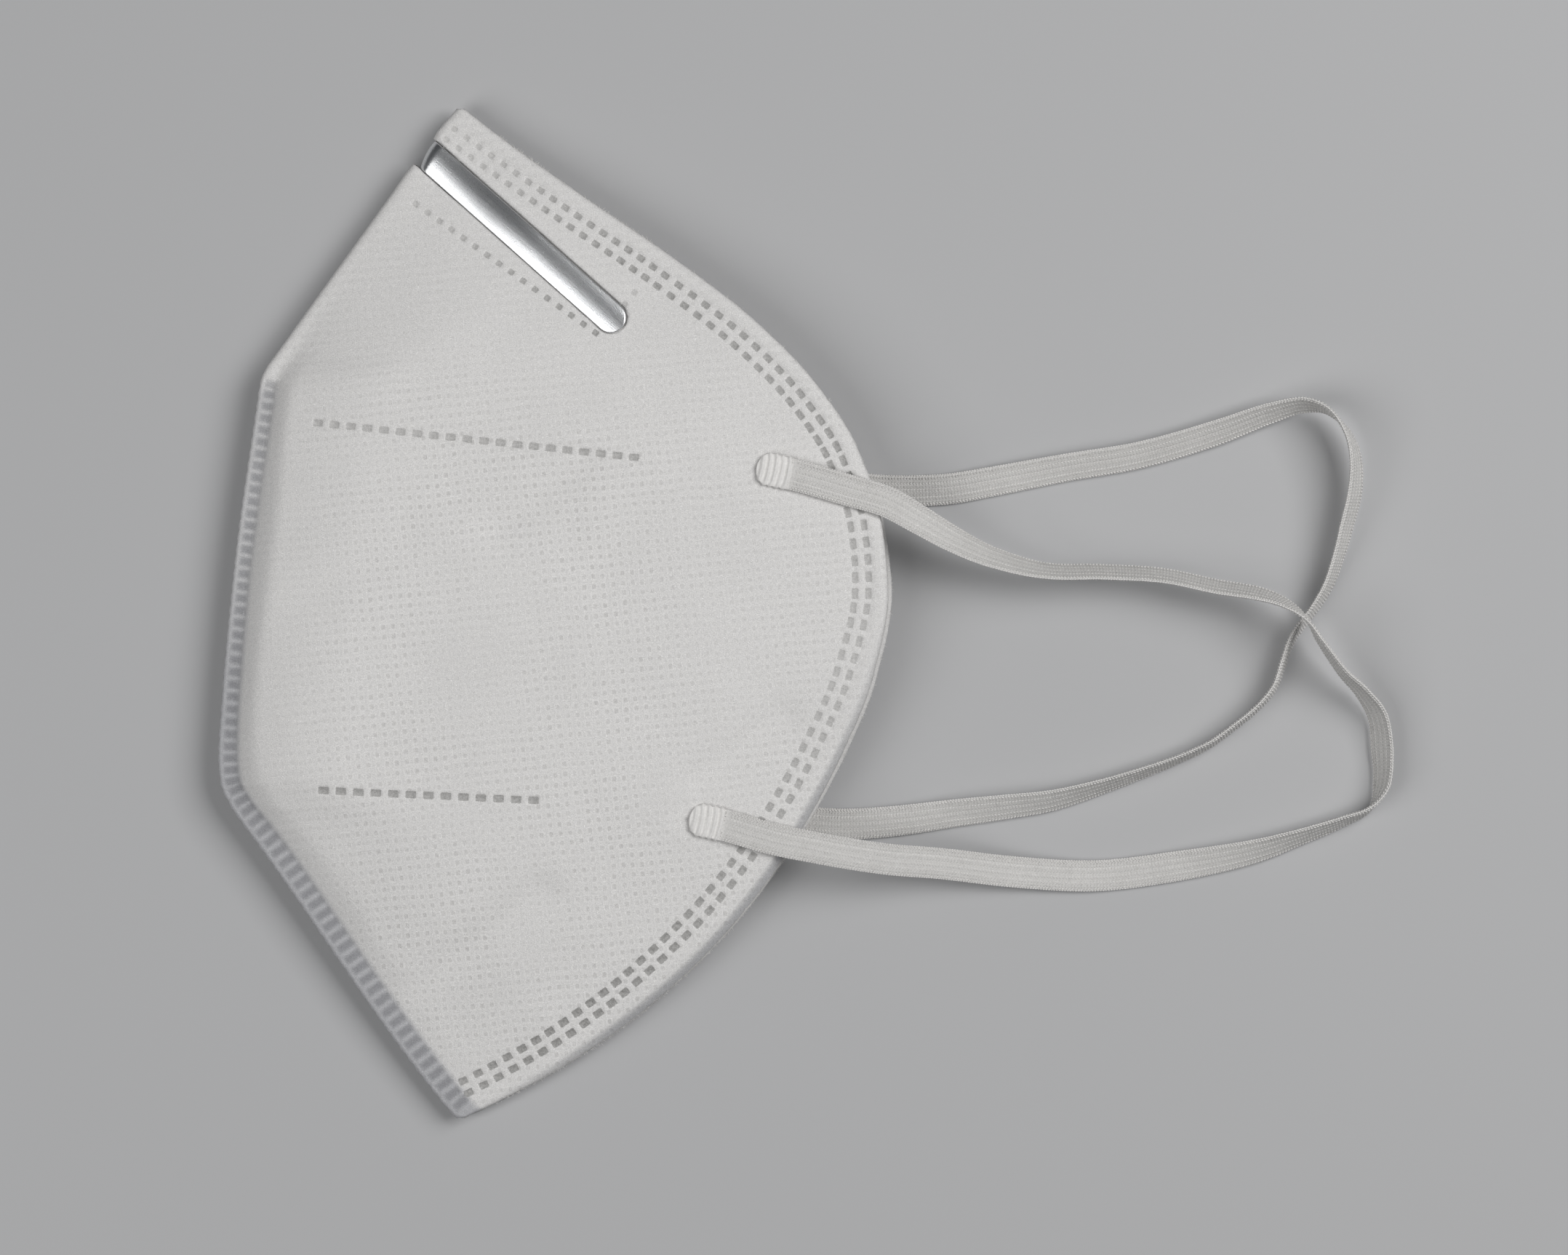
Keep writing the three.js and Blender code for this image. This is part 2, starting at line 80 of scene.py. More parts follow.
def ease(t: Array) -> Array:
    """Smooth step from 0 to 1 of each number."""
    t = np.clip(t, 0, 1)
    return t * t * (3 - 2 * t)


def rise(t: Array, start: float, run: float) -> Array:
    """Smooth step from 0 at a start to 1 after a run, which goes backwards if it is negative."""
    return ease((t - start) / run)


def lerp(a: Array, b: Array, t: Array) -> Array:
    """Numbers a share t of the way from a to b."""
    return a + (b - a) * t


def unit(rows: Array) -> Array:
    """Directions of length 1."""
    return rows / np.linalg.norm(rows, axis=-1, keepdims=True)


def run_along(points: Array) -> Array:
    """Distance of each point of a line from its first one, along the line."""
    return np.concatenate([[0], np.cumsum(np.linalg.norm(np.diff(points, axis=0), axis=1))])


def read_along(far: Array, known: Array, rows: Array) -> Array:
    """Rows read at distances along a line, from those at its known distances."""
    return np.stack([np.interp(far, known, column) for column in rows.T], -1)


@dataclass(frozen=True)
class Table:
    """Rows of named columns, from nose to chin, read along curves that don't overshoot the rows."""

    columns: tuple[str, ...]
    rows: tuple[tuple[float, ...], ...]

    def at(self, column: str, up: Array) -> Array:
        """Reads a column at some heights.

        Args:
            column: Name of the column.
            up: Heights along the mask, in millimetres.

        Returns:
            The column's value at each height.
        """
        cells = np.array(self.rows[::-1], float)
        ups, values = cells[:, 0], cells[:, self.columns.index(column)]
        run = np.diff(ups)
        chord = np.diff(values) / run
        before, after = np.insert(chord, 0, chord[0]), np.append(chord, chord[-1])
        alike = before * after > 0
        slope = np.where(alike, 2 * before * after / np.where(alike, before + after, 1), 0)
        i = np.clip(np.searchsorted(ups, up) - 1, 0, len(run) - 1)
        t = np.clip((up - ups[i]) / run[i], 0, 1)
        start = values[i] * (1 + 2 * t) * (1 - t) ** 2
        end = values[i + 1] * t * t * (3 - 2 * t)
        bend = slope[i] * t * (1 - t) ** 2 - slope[i + 1] * t * t * (1 - t)
        return start + end + bend * run[i]


FRONT_EDGE = Table(
    ("up", "x"),
    (
        (80, -15.6),
        (75.8, -19.0),
        (73.8, -19.8),
        (71.2, -22.5),
        (66.2, -26.1),
        (41.6, -43.7),
        (38.6, -45.8),
        (36.2, -46.7),
        (33, -47.2),
        (8, -50.7),
        (-17, -53.0),
        (-22.4, -53.3),
        (-26.6, -53.0),
        (-30.2, -51.5),
        (-34, -48.9),
        (-37.4, -46.4),
        (-77.6, -17.9),
        (-80, -15.7),
    ),
)

FACE_EDGE = Table(
    ("up", "x", "peek"),
    (
        (80, -14.6, 0),
        (74, -6.8, 0),
        (66, 4.4, 0),
        (56, 18.9, 0),
        (46, 31.8, 0),
        (36, 41.4, 0),
        (26, 47.8, 0.1),
        (14, 51.6, 0.5),
        (3, 52.6, 0.7),
        (-10, 50.2, 0.7),
        (-22, 45.4, 0.7),
        (-36, 37.8, 0.5),
        (-50, 27.4, 0.4),
        (-62, 15.0, 0.3),
        (-71, 2.4, 0.2),
        (-77, -8.4, 0.1),
        (-80, -14.6, 0),
    ),
)

HEIGHTS = Table(
    ("up", "mid", "crown", "lip"),
    (
        (80, 3.4, 4.9, 4.9),
        (72, 3.8, 6.0, 6.2),
        (60, 4.2, 8.2, 8.2),
        (48, 4.6, 10.2, 9.9),
        (36, 5.0, 11.7, 10.9),
        (18, 5.2, 12.5, 11.5),
        (-4, 5.2, 12.8, 11.6),
        (-26, 5.0, 12.2, 11.0),
        (-46, 4.4, 10.2, 9.4),
        (-62, 3.7, 7.6, 7.2),
        (-74, 3.1, 5.3, 5.2),
        (-80, 2.8, 4.0, 4.0),
    ),
)

FRONT_FORM = Table(
    ("up", "thick", "flat", "foot", "ramp", "rise", "shut"),
    (
        (80, 3.0, 1.5, 0, 4.0, 26, 5.0),
        (56, 3.0, 1.5, 0, 4.0, 22, 5.0),
        (44, 2.5, 1.9, 0.05, 4.0, 20, 4.6),
        (34, 1.8, 2.5, 0.34, 3.4, 18, 4.0),
        (13, 1.8, 2.5, 0.4, 4.6, 18, 4.0),
        (-14, 1.8, 2.6, 0.36, 3.8, 18, 4.0),
        (-23, 1.8, 2.9, 0.32, 4.2, 18, 4.2),
        (-40, 1.8, 3.4, 0.28, 5.0, 20, 4.4),
        (-80, 1.8, 3.4, 0.2, 5.0, 22, 4.4),
    ),
)

# Squares welded round the rim, by the distance along it from the nose: inset of the outer row, length,
# width and greyness
RIM_WELDS = Table(
    ("far", "inset", "long", "wide", "tone"),
    (
        (0, 3.42, 0.95, 0.85, 0.35),
        (-12, 3.12, 1.1, 0.9, 0.5),
        (-24, 3.05, 1.3, 0.98, 0.75),
        (-44, 2.97, 1.36, 1.0, 0.85),
        (-66, 2.9, 1.5, 1.0, 0.8),
        (-80, 2.8, 1.75, 1.0, 0.85),
        (-97, 2.73, 1.7, 1.0, 0.66),
        (-110, 3.2, 1.7, 1.0, 0.54),
        (-121, 3.6, 1.6, 1.0, 0.5),
        (-131, 3.8, 1.5, 1.05, 0.58),
        (-153, 4.12, 1.48, 1.1, 0.76),
        (-175, 4.3, 1.55, 1.12, 0.92),
        (-200, 3.75, 1.58, 1.18, 1.0),
        (-216, 3.28, 1.45, 1.12, 0.85),
    ),
)

# Soft creases of the upper half: both ends, half width and depth
CREASES = (
    (22.7, -26.1, 35.9, -16.3, 2.6, 0.85),
    (-21.7, -59.6, -2.1, -44.0, 3.0, 0.95),
    (-8.5, 13.7, 4.2, 23.5, 2.8, 0.6),
    (-37.3, 3.3, -23.5, 11.9, 4, 0.5),
    (-18.9, -11.1, -2.1, -10.0, 5, 0.5),
)

# Middle line of each ear loop: x, y, height of the band's lower edge, turn about its own length in degrees,
# which raises the left edge if positive and the right edge if negative
LEFT_ROUTE = (
    (32.0, 23.1, 11.9, 0),
    (39.0, 21.5, 11.9, 0),
    (46.3, 19.4, 11.8, 0),
    (52.4, 17.6, 11.3, -6),
    (57.0, 15.1, 9.6, -18),
    (63.4, 11.5, 7.2, -34),
    (69.3, 8.9, 5.2, -48),
    (77.6, 6.8, 3.6, -60),
    (86.9, 6.6, 2.8, -62),
    (96.4, 6.0, 2.8, -63),
    (104.6, 4.3, 3.2, -63),
    (112.3, 2.9, 4.2, -66),
    (116.3, 1.1, 5.2, -75),
    (119.0, -1.2, 5.8, -86),
    (121.1, -4.4, 5.2, -95),
    (124.7, -9.2, 3.2, -101),
    (128.1, -12.6, 1.6, -110),
    (130.5, -16.2, 0.6, -124),
    (131.3, -21.5, 0.3, -130),
    (131.2, -27.2, 0.2, -116),
    (129.4, -30.9, 0.2, -82),
    (125.0, -33.0, 0.2, -70),
    (118.4, -35.4, 0.2, -58),
    (110.9, -37.8, 0.2, -38),
    (98.5, -40.2, 0.2, -12),
    (86.0, -41.7, 0.3, 0),
    (73.5, -41.1, 1.4, 0),
    (61.2, -39.6, 4.4, 0),
    (52.7, -38.8, 7.2, 0),
    (46.3, -37.8, 9.0, 0),
    (40.5, -36.7, 10.3, 0),
    (34.2, -35.4, 10.7, 0),
    (27.3, -33.4, 10.9, 0),
    (21.4, -32.1, 11.1, 0),
)

RIGHT_ROUTE = (
    (32.0, 23.1, 0.45, 0),
    (41.1, 21.2, 0.45, 0),
    (50.9, 19.7, 0.2, 0),
    (61.9, 19.8, 0.1, 8),
    (69.3, 21.0, 0.1, 18),
    (81.0, 23.2, 0.1, 28),
    (92.8, 25.2, 0.2, 31),
    (104.6, 28.6, 0.6, 36),
    (113.4, 31.8, 1.2, 50),
    (118.8, 33.1, 1.9, 64),
    (122.2, 32.3, 2.5, 84),
    (125.2, 29.2, 2.8, 102),
    (126.7, 25.2, 2.7, 114),
    (126.8, 19.7, 2.2, 120),
    (125.5, 13.8, 1.4, 118),
    (124.3, 9.1, 0.8, 114),
    (122.6, 4.3, 0.2, 110),
    (120.5, 0.9, 0.1, 107),
    (118.8, -1.4, 0.1, 105),
    (116.9, -4.2, 0.1, 104),
    (115.6, -7.6, 0.1, 102),
    (114.2, -11.6, 0.1, 101),
    (111.6, -14.8, 0.1, 100),
    (107.6, -18.1, 0.1, 100),
    (103.8, -20.8, 0.1, 101),
    (98.7, -23.2, 0.1, 104),
    (92.8, -25.4, 0.1, 110),
    (86.9, -27.4, 0.1, 118),
    (78.7, -29.7, 0.1, 134),
    (71.6, -30.7, 0.1, 144),
    (63.4, -31.7, 0.1, 154),
    (54.6, -32.9, 0.1, 168),
    (45.7, -33.5, 0.2, 178),
    (38.0, -33.0, 0.4, 180),
    (29.6, -32.4, 0.45, 180),
    (21.4, -32.1, 0.45, 180),
)


class Value:
    """A socket whose arithmetic adds Math nodes to its tree."""

    def __init__(self, tree: "Tree", socket: bpy.types.NodeSocket) -> None:
        """Wraps an output socket of a tree."""
        self.tree = tree
        self.socket = socket

    def math(self, operation: str, *others: "Value | float") -> "Value":
        """Result of a Math node that this value goes into first."""
        return self.tree.value("ShaderNodeMath", {"operation": operation}, dict(enumerate((self, *others))))

    def __add__(self, other: "Value | float") -> "Value":
        """Sum."""
        return self.math("ADD", other)

    __radd__ = __add__

    def __sub__(self, other: "Value | float") -> "Value":
        """Difference."""
        return self.math("SUBTRACT", other)

    def __rsub__(self, other: float) -> "Value":
        """Difference from a number."""
        return self.tree.value("ShaderNodeMath", {"operation": "SUBTRACT"}, {0: other, 1: self})

    def __mul__(self, other: "Value | float") -> "Value":
        """Product."""
        return self.math("MULTIPLY", other)

    __rmul__ = __mul__

    def __truediv__(self, other: "Value | float") -> "Value":
        """Quotient."""
        return self.math("DIVIDE", other)

    def __pow__(self, other: float) -> "Value":
        """Power."""
        return self.math("POWER", other)

    def between(self, low: float, high: float) -> "Value":
        """Smooth step from 0 at low to 1 at high."""
        sockets = {"Value": self, "From Min": low, "From Max": high}
        return self.tree.value("ShaderNodeMapRange", {"interpolation_type": "SMOOTHSTEP"}, sockets)


class Tree:
    """A node tree under construction."""

    def __init__(self, group: bpy.types.NodeTree) -> None:
        """Takes the tree that the nodes go into."""
        self.group = group

    def node(self, kind: str, settings: dict[str, Any], sockets: dict[Any, Any]) -> Any:
        """Adds a node.

        Args:
            kind: The node's type.
            settings: Its settings, set first.
            sockets: Numbers, colours, names or links of its inputs, by name or by place.

        Returns:
            The node.
        """
        made = self.group.nodes.new(kind)
        for key, value in settings.items():
            setattr(made, key, value)
        for key, value in sockets.items():
            if isinstance(value, Value):
                self.group.links.new(value.socket, made.inputs[key])
            else:
                made.inputs[key].default_value = value
        return made

    def value(self, kind: str, settings: dict[str, Any], sockets: dict[Any, Any], out: Any = 0) -> Value:
        """Adds a node and returns one of its outputs, by name or by place."""
        return Value(self, self.node(kind, settings, sockets).outputs[out])


class Paint(Tree):
    """One procedural material under construction."""

    def __init__(self, name: str, **constants: float) -> None:
        """Starts a material.

        Args:
            name: Name of the material.
            constants: Values of the surface shader's own sockets, with _ for a space.
        """
        self.material = bpy.data.materials.new(name)
        self.material.use_nodes = True
        super().__init__(self.material.node_tree)
        self.shader = self.group.nodes["Principled BSDF"]
        for socket, value in constants.items():
            self.shader.inputs[socket.replace("_", " ").title()].default_value = value

    def place(self, uv_map: str | None = None) -> Value:
        """Object coordinates, or a UV map's."""
        if uv_map is None:
            return self.value("ShaderNodeTexCoord", {}, {}, "Object")
        return self.value("ShaderNodeUVMap", {"uv_map": uv_map}, {}, "UV")

    def attribute(self, name: str) -> Value:
        """A number that the mesh carries."""
        return self.value("ShaderNodeAttribute", {"attribute_name": name}, {}, "Fac")

    def scaled(self, place: Value, scale: Sizes, turn: float = 0.0) -> Value:
        """A place turned back about Z and then stretched by three factors."""
        sockets = {"Vector": place, "Rotation": (0, 0, turn), "Scale": tuple(1 / part for part in scale)}
        return self.value("ShaderNodeMapping", {"vector_type": "TEXTURE"}, sockets)

    def noise(self, place: Value, scale: float, detail: float = 2.0, rough: float = 0.5) -> Value:
        """Soft noise about 0.5 at a place."""
        sockets = {"Vector": place, "Scale": scale, "Detail": detail, "Roughness": rough}
        return self.value("ShaderNodeTexNoise", {}, sockets, "Fac")

    def mix(self, a: Any, b: Any, share: Value | float, blend: str = "MIX") -> Value:
        """Colour between a and b, or blended in another way."""
        settings = {"data_type": "RGBA", "blend_type": blend}
        return self.value("ShaderNodeMix", settings, {0: share, 6: a, 7: b}, 2)

    def feed(self, socket: str, value: Value) -> None:
        """Links a value to the surface shader."""
        self.group.links.new(value.socket, self.shader.inputs[socket])

    def bump(self, height: Value, distance: float) -> None:
        """Presses a height, in millimetres, into the surface shader's normal."""
        sockets = {"Height": height, "Distance": distance * MM, "Strength": 1.0}
        self.feed("Normal", self.value("ShaderNodeBump", {}, sockets, "Normal"))


@dataclass(frozen=True)
class WebFinish:
    """Matt white spunbond web: faint pressed dots, fine fibres, glazed grey welds and softly pressed bars,
    with painted glints, painted highlights round the dots and between their rows, and painted shade on the
    rolled rim.
    """

    white: Colour = (0.8, 0.787, 0.773, 1)
    dot: Colour = (0.655, 0.64, 0.625, 1)
    # grey of the pressed seam, also used as painted shade along the upper half's rolled rim
    hem: Colour = (0.50, 0.50, 0.515, 1)
    bar: Colour = (0.31, 0.31, 0.325, 1)
    film: Colour = (0.40, 0.392, 0.38, 1)
    dark: Colour = (0.25, 0.245, 0.235, 1)
    pitch: float = 1.525
    turn: float = math.radians(5.8)
    dot_size: Span = (0.19, 0.225)
    dot_wander: float = 0.5
    dot_clear: Span = (0.14, 0.48)
    # strengths of the painted highlight round the dots and of the painted light between their rows
    dot_rim_painted_light: float = 0.09
    row_painted_light: float = 0.035
    fibre_turns: tuple[float, ...] = (0.35, 1.45, 2.5)
    fibre_scale: Sizes = (1.1, 9.0, 1.0)
    fibre_mean: float = 0.37
    weld_brink: Span = (-0.08, 0.1)
    bar_brink: Span = (-0.42, 0.4)
    bar_share: float = 0.45
    ragged: float = 0.1
    fibre_shade: float = 0.75
    speck_shade: float = 0.5
    # strength of the glints painted on single fibres
    painted_glint_strength: float = 0.3
    cloud_shade: float = 0.08
    mean_shade: float = 0.96
    relief: float = 0.1
    uv_span: float = 400.0
    uv_map: str = "unfolded"

    def material(self) -> bpy.types.Material:
        """Makes the material.

        Returns:
            A material that reads the web's unfolded map and its distances from welds, bars and hem, which
            also carries painted shade.
        """
        paint = Paint("spunbond_web", roughness=0.85, sheen_weight=0.08, sheen_roughness=0.5)
        place = paint.scaled(paint.place(self.uv_map), (self.uv_span, self.uv_span, self.uv_span))
        threads = self.threads(paint, place)
        specks = paint.noise(place, 5.5, 1.0, 0.6)
        lumps = paint.noise(place, 1.3)
        cloud = paint.noise(place, 0.05, 3.0)
        fuzz = (specks - 0.5) * self.ragged + (threads - self.fibre_mean) * self.ragged
        # hem: grey of the pressed seam, and painted shade along the upper half's rolled rim
        hem = paint.attribute("hem")
        weld_gap, bar_gap = paint.attribute("weld_gap") + fuzz, paint.attribute("bar_gap") + fuzz
        weld = (1 - weld_gap.between(*self.weld_brink)) * paint.attribute("weld_tone")
        bar = (1 - bar_gap.between(*self.bar_brink)) * (hem * self.bar_share + self.bar_share)
        # the second value is painted light round the dots and between their rows
        dot, painted_light = self.dots(paint, place)
        dot = dot * (1 - weld)
        colour = paint.mix(self.white, self.dot, dot)
        for layer, share in ((self.hem, hem), (self.bar, bar), (self.weld_film_and_glints(paint, place, threads), weld)):
            colour = paint.mix(colour, layer, share)
        # painted glints: bright specks where fibres catch the light, painted into the colour
        painted_glint = (specks * threads).between(0.26, 0.4)
        fine = (threads - self.fibre_mean) * self.fibre_shade + (specks - 0.5) * self.speck_shade
        shade = fine + painted_glint * self.painted_glint_strength + painted_light + (cloud - 0.5) * self.cloud_shade + self.mean_shade
        grey = paint.value("ShaderNodeCombineColor", {}, {0: shade, 1: shade, 2: shade})
        paint.feed("Base Color", paint.mix(colour, grey, 1.0, "MULTIPLY"))
        paint.feed("Roughness", 0.88 - dot * 0.1 - weld * 0.45 * (0.5 + specks))
        paint.bump(threads * 0.5 + specks * 0.3 + lumps * (0.5 + weld) - dot * 0.6, self.relief)
        return paint.material

    def weld_film_and_glints(self, paint: Paint, place: Value, threads: Value) -> Value:
        """Colour of the fused film in a weld, with white glints painted along the fibres left across it.

        Args:
            paint: The material.
            place: Place on the web in millimetres.
            threads: The web's fibres.

        Returns:
            The colour.
        """
        mottle = paint.noise(place, 2.2, 3.0, 0.7)
        film = paint.mix(self.film, self.dark, mottle.between(0.4, 0.7))
        # painted white glints along the fibres over the film
        return paint.mix(film, self.white, threads.between(0.46, 0.68) * 0.65)

    def dots(self, paint: Paint, place: Value) -> tuple[Value, Value]:
        """Small rounded rectangles of a slightly wandering lattice, each pressed more or less clearly.

        Args:
            paint: The material.
            place: Place on the web in millimetres.

        Returns:
            A number that is 0 between the dots and up to 1 on the clearest ones, and the painted light: a
            painted highlight round them and painted light on the relief between the lattice's rows.
        """
        wander = (paint.noise(place, 0.16, 1.0) - 0.5) * self.dot_wander
        lattice = paint.scaled(place, (1 / self.pitch, 1 / self.pitch, 1), self.turn)
        split = paint.node("ShaderNodeSeparateXYZ", {}, {"Vector": lattice})
        a, b = (Value(paint, split.outputs[axis]) + wander for axis in "XY")
        along, across = ((cell.math("FRACT") - 0.5) / size for cell, size in zip((a, b), self.dot_size))
        reach = ((along * along) ** 2.0 + (across * across) ** 2.0) ** 0.25
        cell = paint.value("ShaderNodeCombineXYZ", {}, {0: a.math("FLOOR"), 1: b.math("FLOOR")})
        each = paint.value("ShaderNodeTexWhiteNoise", {"noise_dimensions": "2D"}, {"Vector": cell}, "Value")
        least, more = self.dot_clear
        clear = least + paint.noise(place, 0.045).between(0.22, 0.62) * paint.attribute("clear") * more
        share = (1 - reach.between(0.6, 1.4)) * clear * (0.5 + each * 0.7)
        # painted highlight on the raised rim round each dot
        painted_rim_light = reach.between(0.9, 1.4) * (1 - reach.between(1.6, 2.2)) * clear
        # painted light on the relief between the lattice's rows
        row = across.math("ABSOLUTE") * self.dot_size[1] * 2 - 0.5
        row = row * paint.noise(place, 0.09, 1.0).between(0.4, 0.62)
        return share, painted_rim_light * self.dot_rim_painted_light + row * self.row_painted_light

    def threads(self, paint: Paint, place: Value) -> Value:
        """Fine fibres that lie in several directions.

        Args:
            paint: The material.
            place: Place on the web in millimetres.

        Returns:
            A number about fibre_mean that is high along fibres.
        """
        turned = [paint.scaled(place, self.fibre_scale, turn) for turn in self.fibre_turns]
        total, *others = (paint.noise(layer, 1.0, 2.0, 0.65) for layer in turned)
        for layer in others:
            total = total.math("MAXIMUM", layer)
        return (total - 0.25) * 1.1


@dataclass(frozen=True)
class StripFinish:
    """Bare rolled aluminium with a fine grain of small bright and dull specks, drawn out along it."""

    bright: Colour = (0.90, 0.905, 0.91, 1)
    dull: Colour = (0.62, 0.63, 0.65, 1)
    grain: Sizes = (4.0, 5.5, 1)
    streak: Sizes = (0.12, 5.0, 1)
    relief: float = 0.04
    uv_span: float = 100.0
    uv_map: str = "rolled"

    def material(self) -> bpy.types.Material:
        """Makes the material.

        Returns:
            A material that reads the strip's own map.
        """
        paint = Paint("bare_aluminium_strip", metallic=1.0, roughness=0.3)
        place = paint.scaled(paint.place(self.uv_map), (self.uv_span, self.uv_span, self.uv_span))
        grain = paint.noise(paint.scaled(place, self.grain), 1.0, 3.0, 0.75)
        streak = paint.noise(paint.scaled(place, self.streak), 1.0, 2.0, 0.6)
        specks = paint.noise(place, 6.0, 2.0, 0.6)
        share = (grain * 0.7 + streak * 0.3).between(0.4, 0.68)
        paint.feed("Base Color", paint.mix(self.bright, self.dull, share))
        paint.feed("Roughness", 0.2 + grain * 0.2)
        paint.bump(grain * 0.5 + specks * 0.5 + streak * 0.3, self.relief)
        return paint.material


@dataclass(frozen=True)
class ElasticFinish:
    """White knitted yarn, with shade painted on as darker colour on the core between the stitches and in the
    grooves along the band.
    """

    yarn: Colour = (0.84, 0.825, 0.805, 1)
    # darker colour for the yarn's fluff and patches, and for shade painted on the core and in the grooves
    shaded: Colour = (0.46, 0.45, 0.435, 1)
    # strength of the shade painted in the grooves along the band
    groove: float = 0.95
    # strength of the shade painted on the core between the stitches
    core: float = 0.45
    relief: float = 0.06

    def material(self, name: str, depth: float) -> bpy.types.Material:
        """Makes the material.

        Args:
            name: Name of the material.
            depth: How much shade is painted on, except at the pressed ends: 0 for the stitches, more for the
                core.

        Returns:
            A material on object coordinates.
        """
        paint = Paint(name, roughness=0.75, sheen_weight=0.1)
        place = paint.scaled(paint.place(), (1 / MM, 1 / MM, 1 / MM))
        fluff = paint.noise(place, 3.2, 3.0, 0.6)
        patch = paint.noise(place, 0.25)
        # share of the darker colour: fluff and patches, and painted shade on the core
        share = (fluff - 0.35) * 0.7 + (patch - 0.5) * 0.2 + (1 - paint.attribute("end")) * depth
        # painted shade in the grooves along the band
        share = share + paint.attribute("groove") * self.groove
        paint.feed("Base Color", paint.mix(self.yarn, self.shaded, share.math("MAXIMUM", 0.0)))
        paint.feed("Roughness", 0.6 + fluff * 0.3)
        paint.bump(fluff, self.relief)
        return paint.material


@dataclass(frozen=True)
class FloorFinish:
    """Plain pale studio floor."""

    pale: Colour = (0.5, 0.5, 0.505, 1)
    other: Colour = (0.485, 0.485, 0.49, 1)

    def material(self) -> bpy.types.Material:
        """Makes the material."""
        paint = Paint("pale_floor", roughness=0.8)
        paint.feed("Base Color", paint.mix(self.pale, self.other, paint.noise(paint.place(), 6.0, 3.0)))
        return paint.material


def new_piece(name: str, points: Array, faces: list, material: bpy.types.Material) -> bpy.types.Object:
    """Makes a smooth mesh object in the scene.

    Args:
        name: The piece's name.
        points: Its points in millimetres.
        faces: Its faces, as lists of point numbers.
        material: Its finish.

    Returns:
        The object, at the origin.
    """
    mesh = bpy.data.meshes.new(name)
    mesh.from_pydata((np.asarray(points) * MM).tolist(), [], faces)
    mesh.update()
    mesh.materials.append(material)
    mesh.shade_smooth()
    piece = bpy.data.objects.new(name, mesh)
    bpy.context.scene.collection.objects.link(piece)
    return piece


def carry(mesh: bpy.types.Mesh, name: str, cells: Array) -> None:
    """Gives a mesh a number or a vector at each point."""
    kind, key = ("FLOAT", "value") if cells.ndim == 1 else ("FLOAT_VECTOR", "vector")
    mesh.attributes.new(name, kind, "POINT").data.foreach_set(key, cells.astype(np.float32).ravel())


def lay_map(mesh: bpy.types.Mesh, name: str, places: Array) -> None:
    """Gives a mesh a UV map from each point's place on it."""
    corners = np.zeros(len(mesh.loops), np.int32)
    mesh.loops.foreach_get("vertex_index", corners)
    mesh.uv_layers.new(name=name).uv.foreach_set("vector", places[corners].astype(np.float32).ravel())


def face_outward(mesh: bpy.types.Mesh) -> None:
    """Turns the faces of a closed mesh outwards."""
    work = bmesh.new()
    work.from_mesh(mesh)
    bmesh.ops.recalc_face_normals(work, faces=work.faces)
    work.to_mesh(mesh)
    work.free()


def tube_faces(rings: int, sides: int) -> list[list[int]]:
    """Faces between rings of points, with both ends shut.

    Args:
        rings: How many rings there are.
        sides: How many points each has.

    Returns:
        The faces, as lists of point numbers.
    """
    faces = []
    for start, k in itertools.product(range(0, (rings - 1) * sides, sides), range(sides)):
        a, b = start + k, start + (k + 1) % sides
        faces.append([a, b, b + sides, a + sides])
    last = (rings - 1) * sides
    return [*faces, list(range(sides))[::-1], list(range(last, last + sides))]


def triangulate(points: Array, count: int) -> tuple[Array, list, list]:
    """Fills an outline with triangles.

    Args:
        points: Points in plan, of which the first ones run round the outline.
        count: How many those are.

    Returns:
        The points as placed, the triangles, and the numbers of the given points at each placed one.
    """
    inside, merge = 1, 1e-6
    outline = [(k, (k + 1) % count) for k in range(count)]
    placed, _, faces, origins, _, _ = delaunay_2d_cdt([Vector(p) for p in points], outline, [], inside, merge)
    return np.array([list(p) for p in placed]), faces, origins


def settle(piece: bpy.types.Object, slot: Slot, *nodes: str) -> bpy.types.Object:
    """Rides a finished piece on the mask, in place of the solids that it stands for.

    Args:
        piece: The piece.
        slot: The record's material slot; not used.
        nodes: Solids that it replaces.

    Returns:
        The piece.
    """
    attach(piece, BODY)
    if nodes:
        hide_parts(*nodes)
    LOG.info("%s: %d faces", piece.name, len(piece.data.polygons))
    return piece


@dataclass
class Places:
    """Points with a turn, a size and a depth in a groove each, which also sets the shade painted on them, for
    a scatter.
    """

    at: Array
    turns: Array
    sizes: Array
    grooves: Array

    @classmethod
    def framed(cls, at: Array, along: Array, out: Array, sizes: Array, groove: float = 0.0) -> "Places":
        """Places whose X runs along a direction and whose Z points out of a surface.

        Args:
            at: Points in millimetres.
            along: Direction of each one's X.
            out: Direction near each one's Z.
            sizes: Size of each in its own X, Y and Z, in millimetres.
            groove: How deep in a groove they lie, from 0 to 1, which also sets the shade painted on them.

        Returns:
            The places.
        """
        along = unit(along)
        side = unit(np.cross(out, along))
        axes = zip(along, side, np.cross(along, side))
        turns = np.array([Matrix(rows).transposed().to_euler("XYZ") for rows in axes])
        return cls(at, turns, sizes, np.full(len(at), groove))

    @classmethod
    def joined(cls, groups: list["Places"]) -> "Places":
        """The places of several groups."""
        return cls(*(np.concatenate(cells) for cells in zip(*(vars(group).values() for group in groups))))


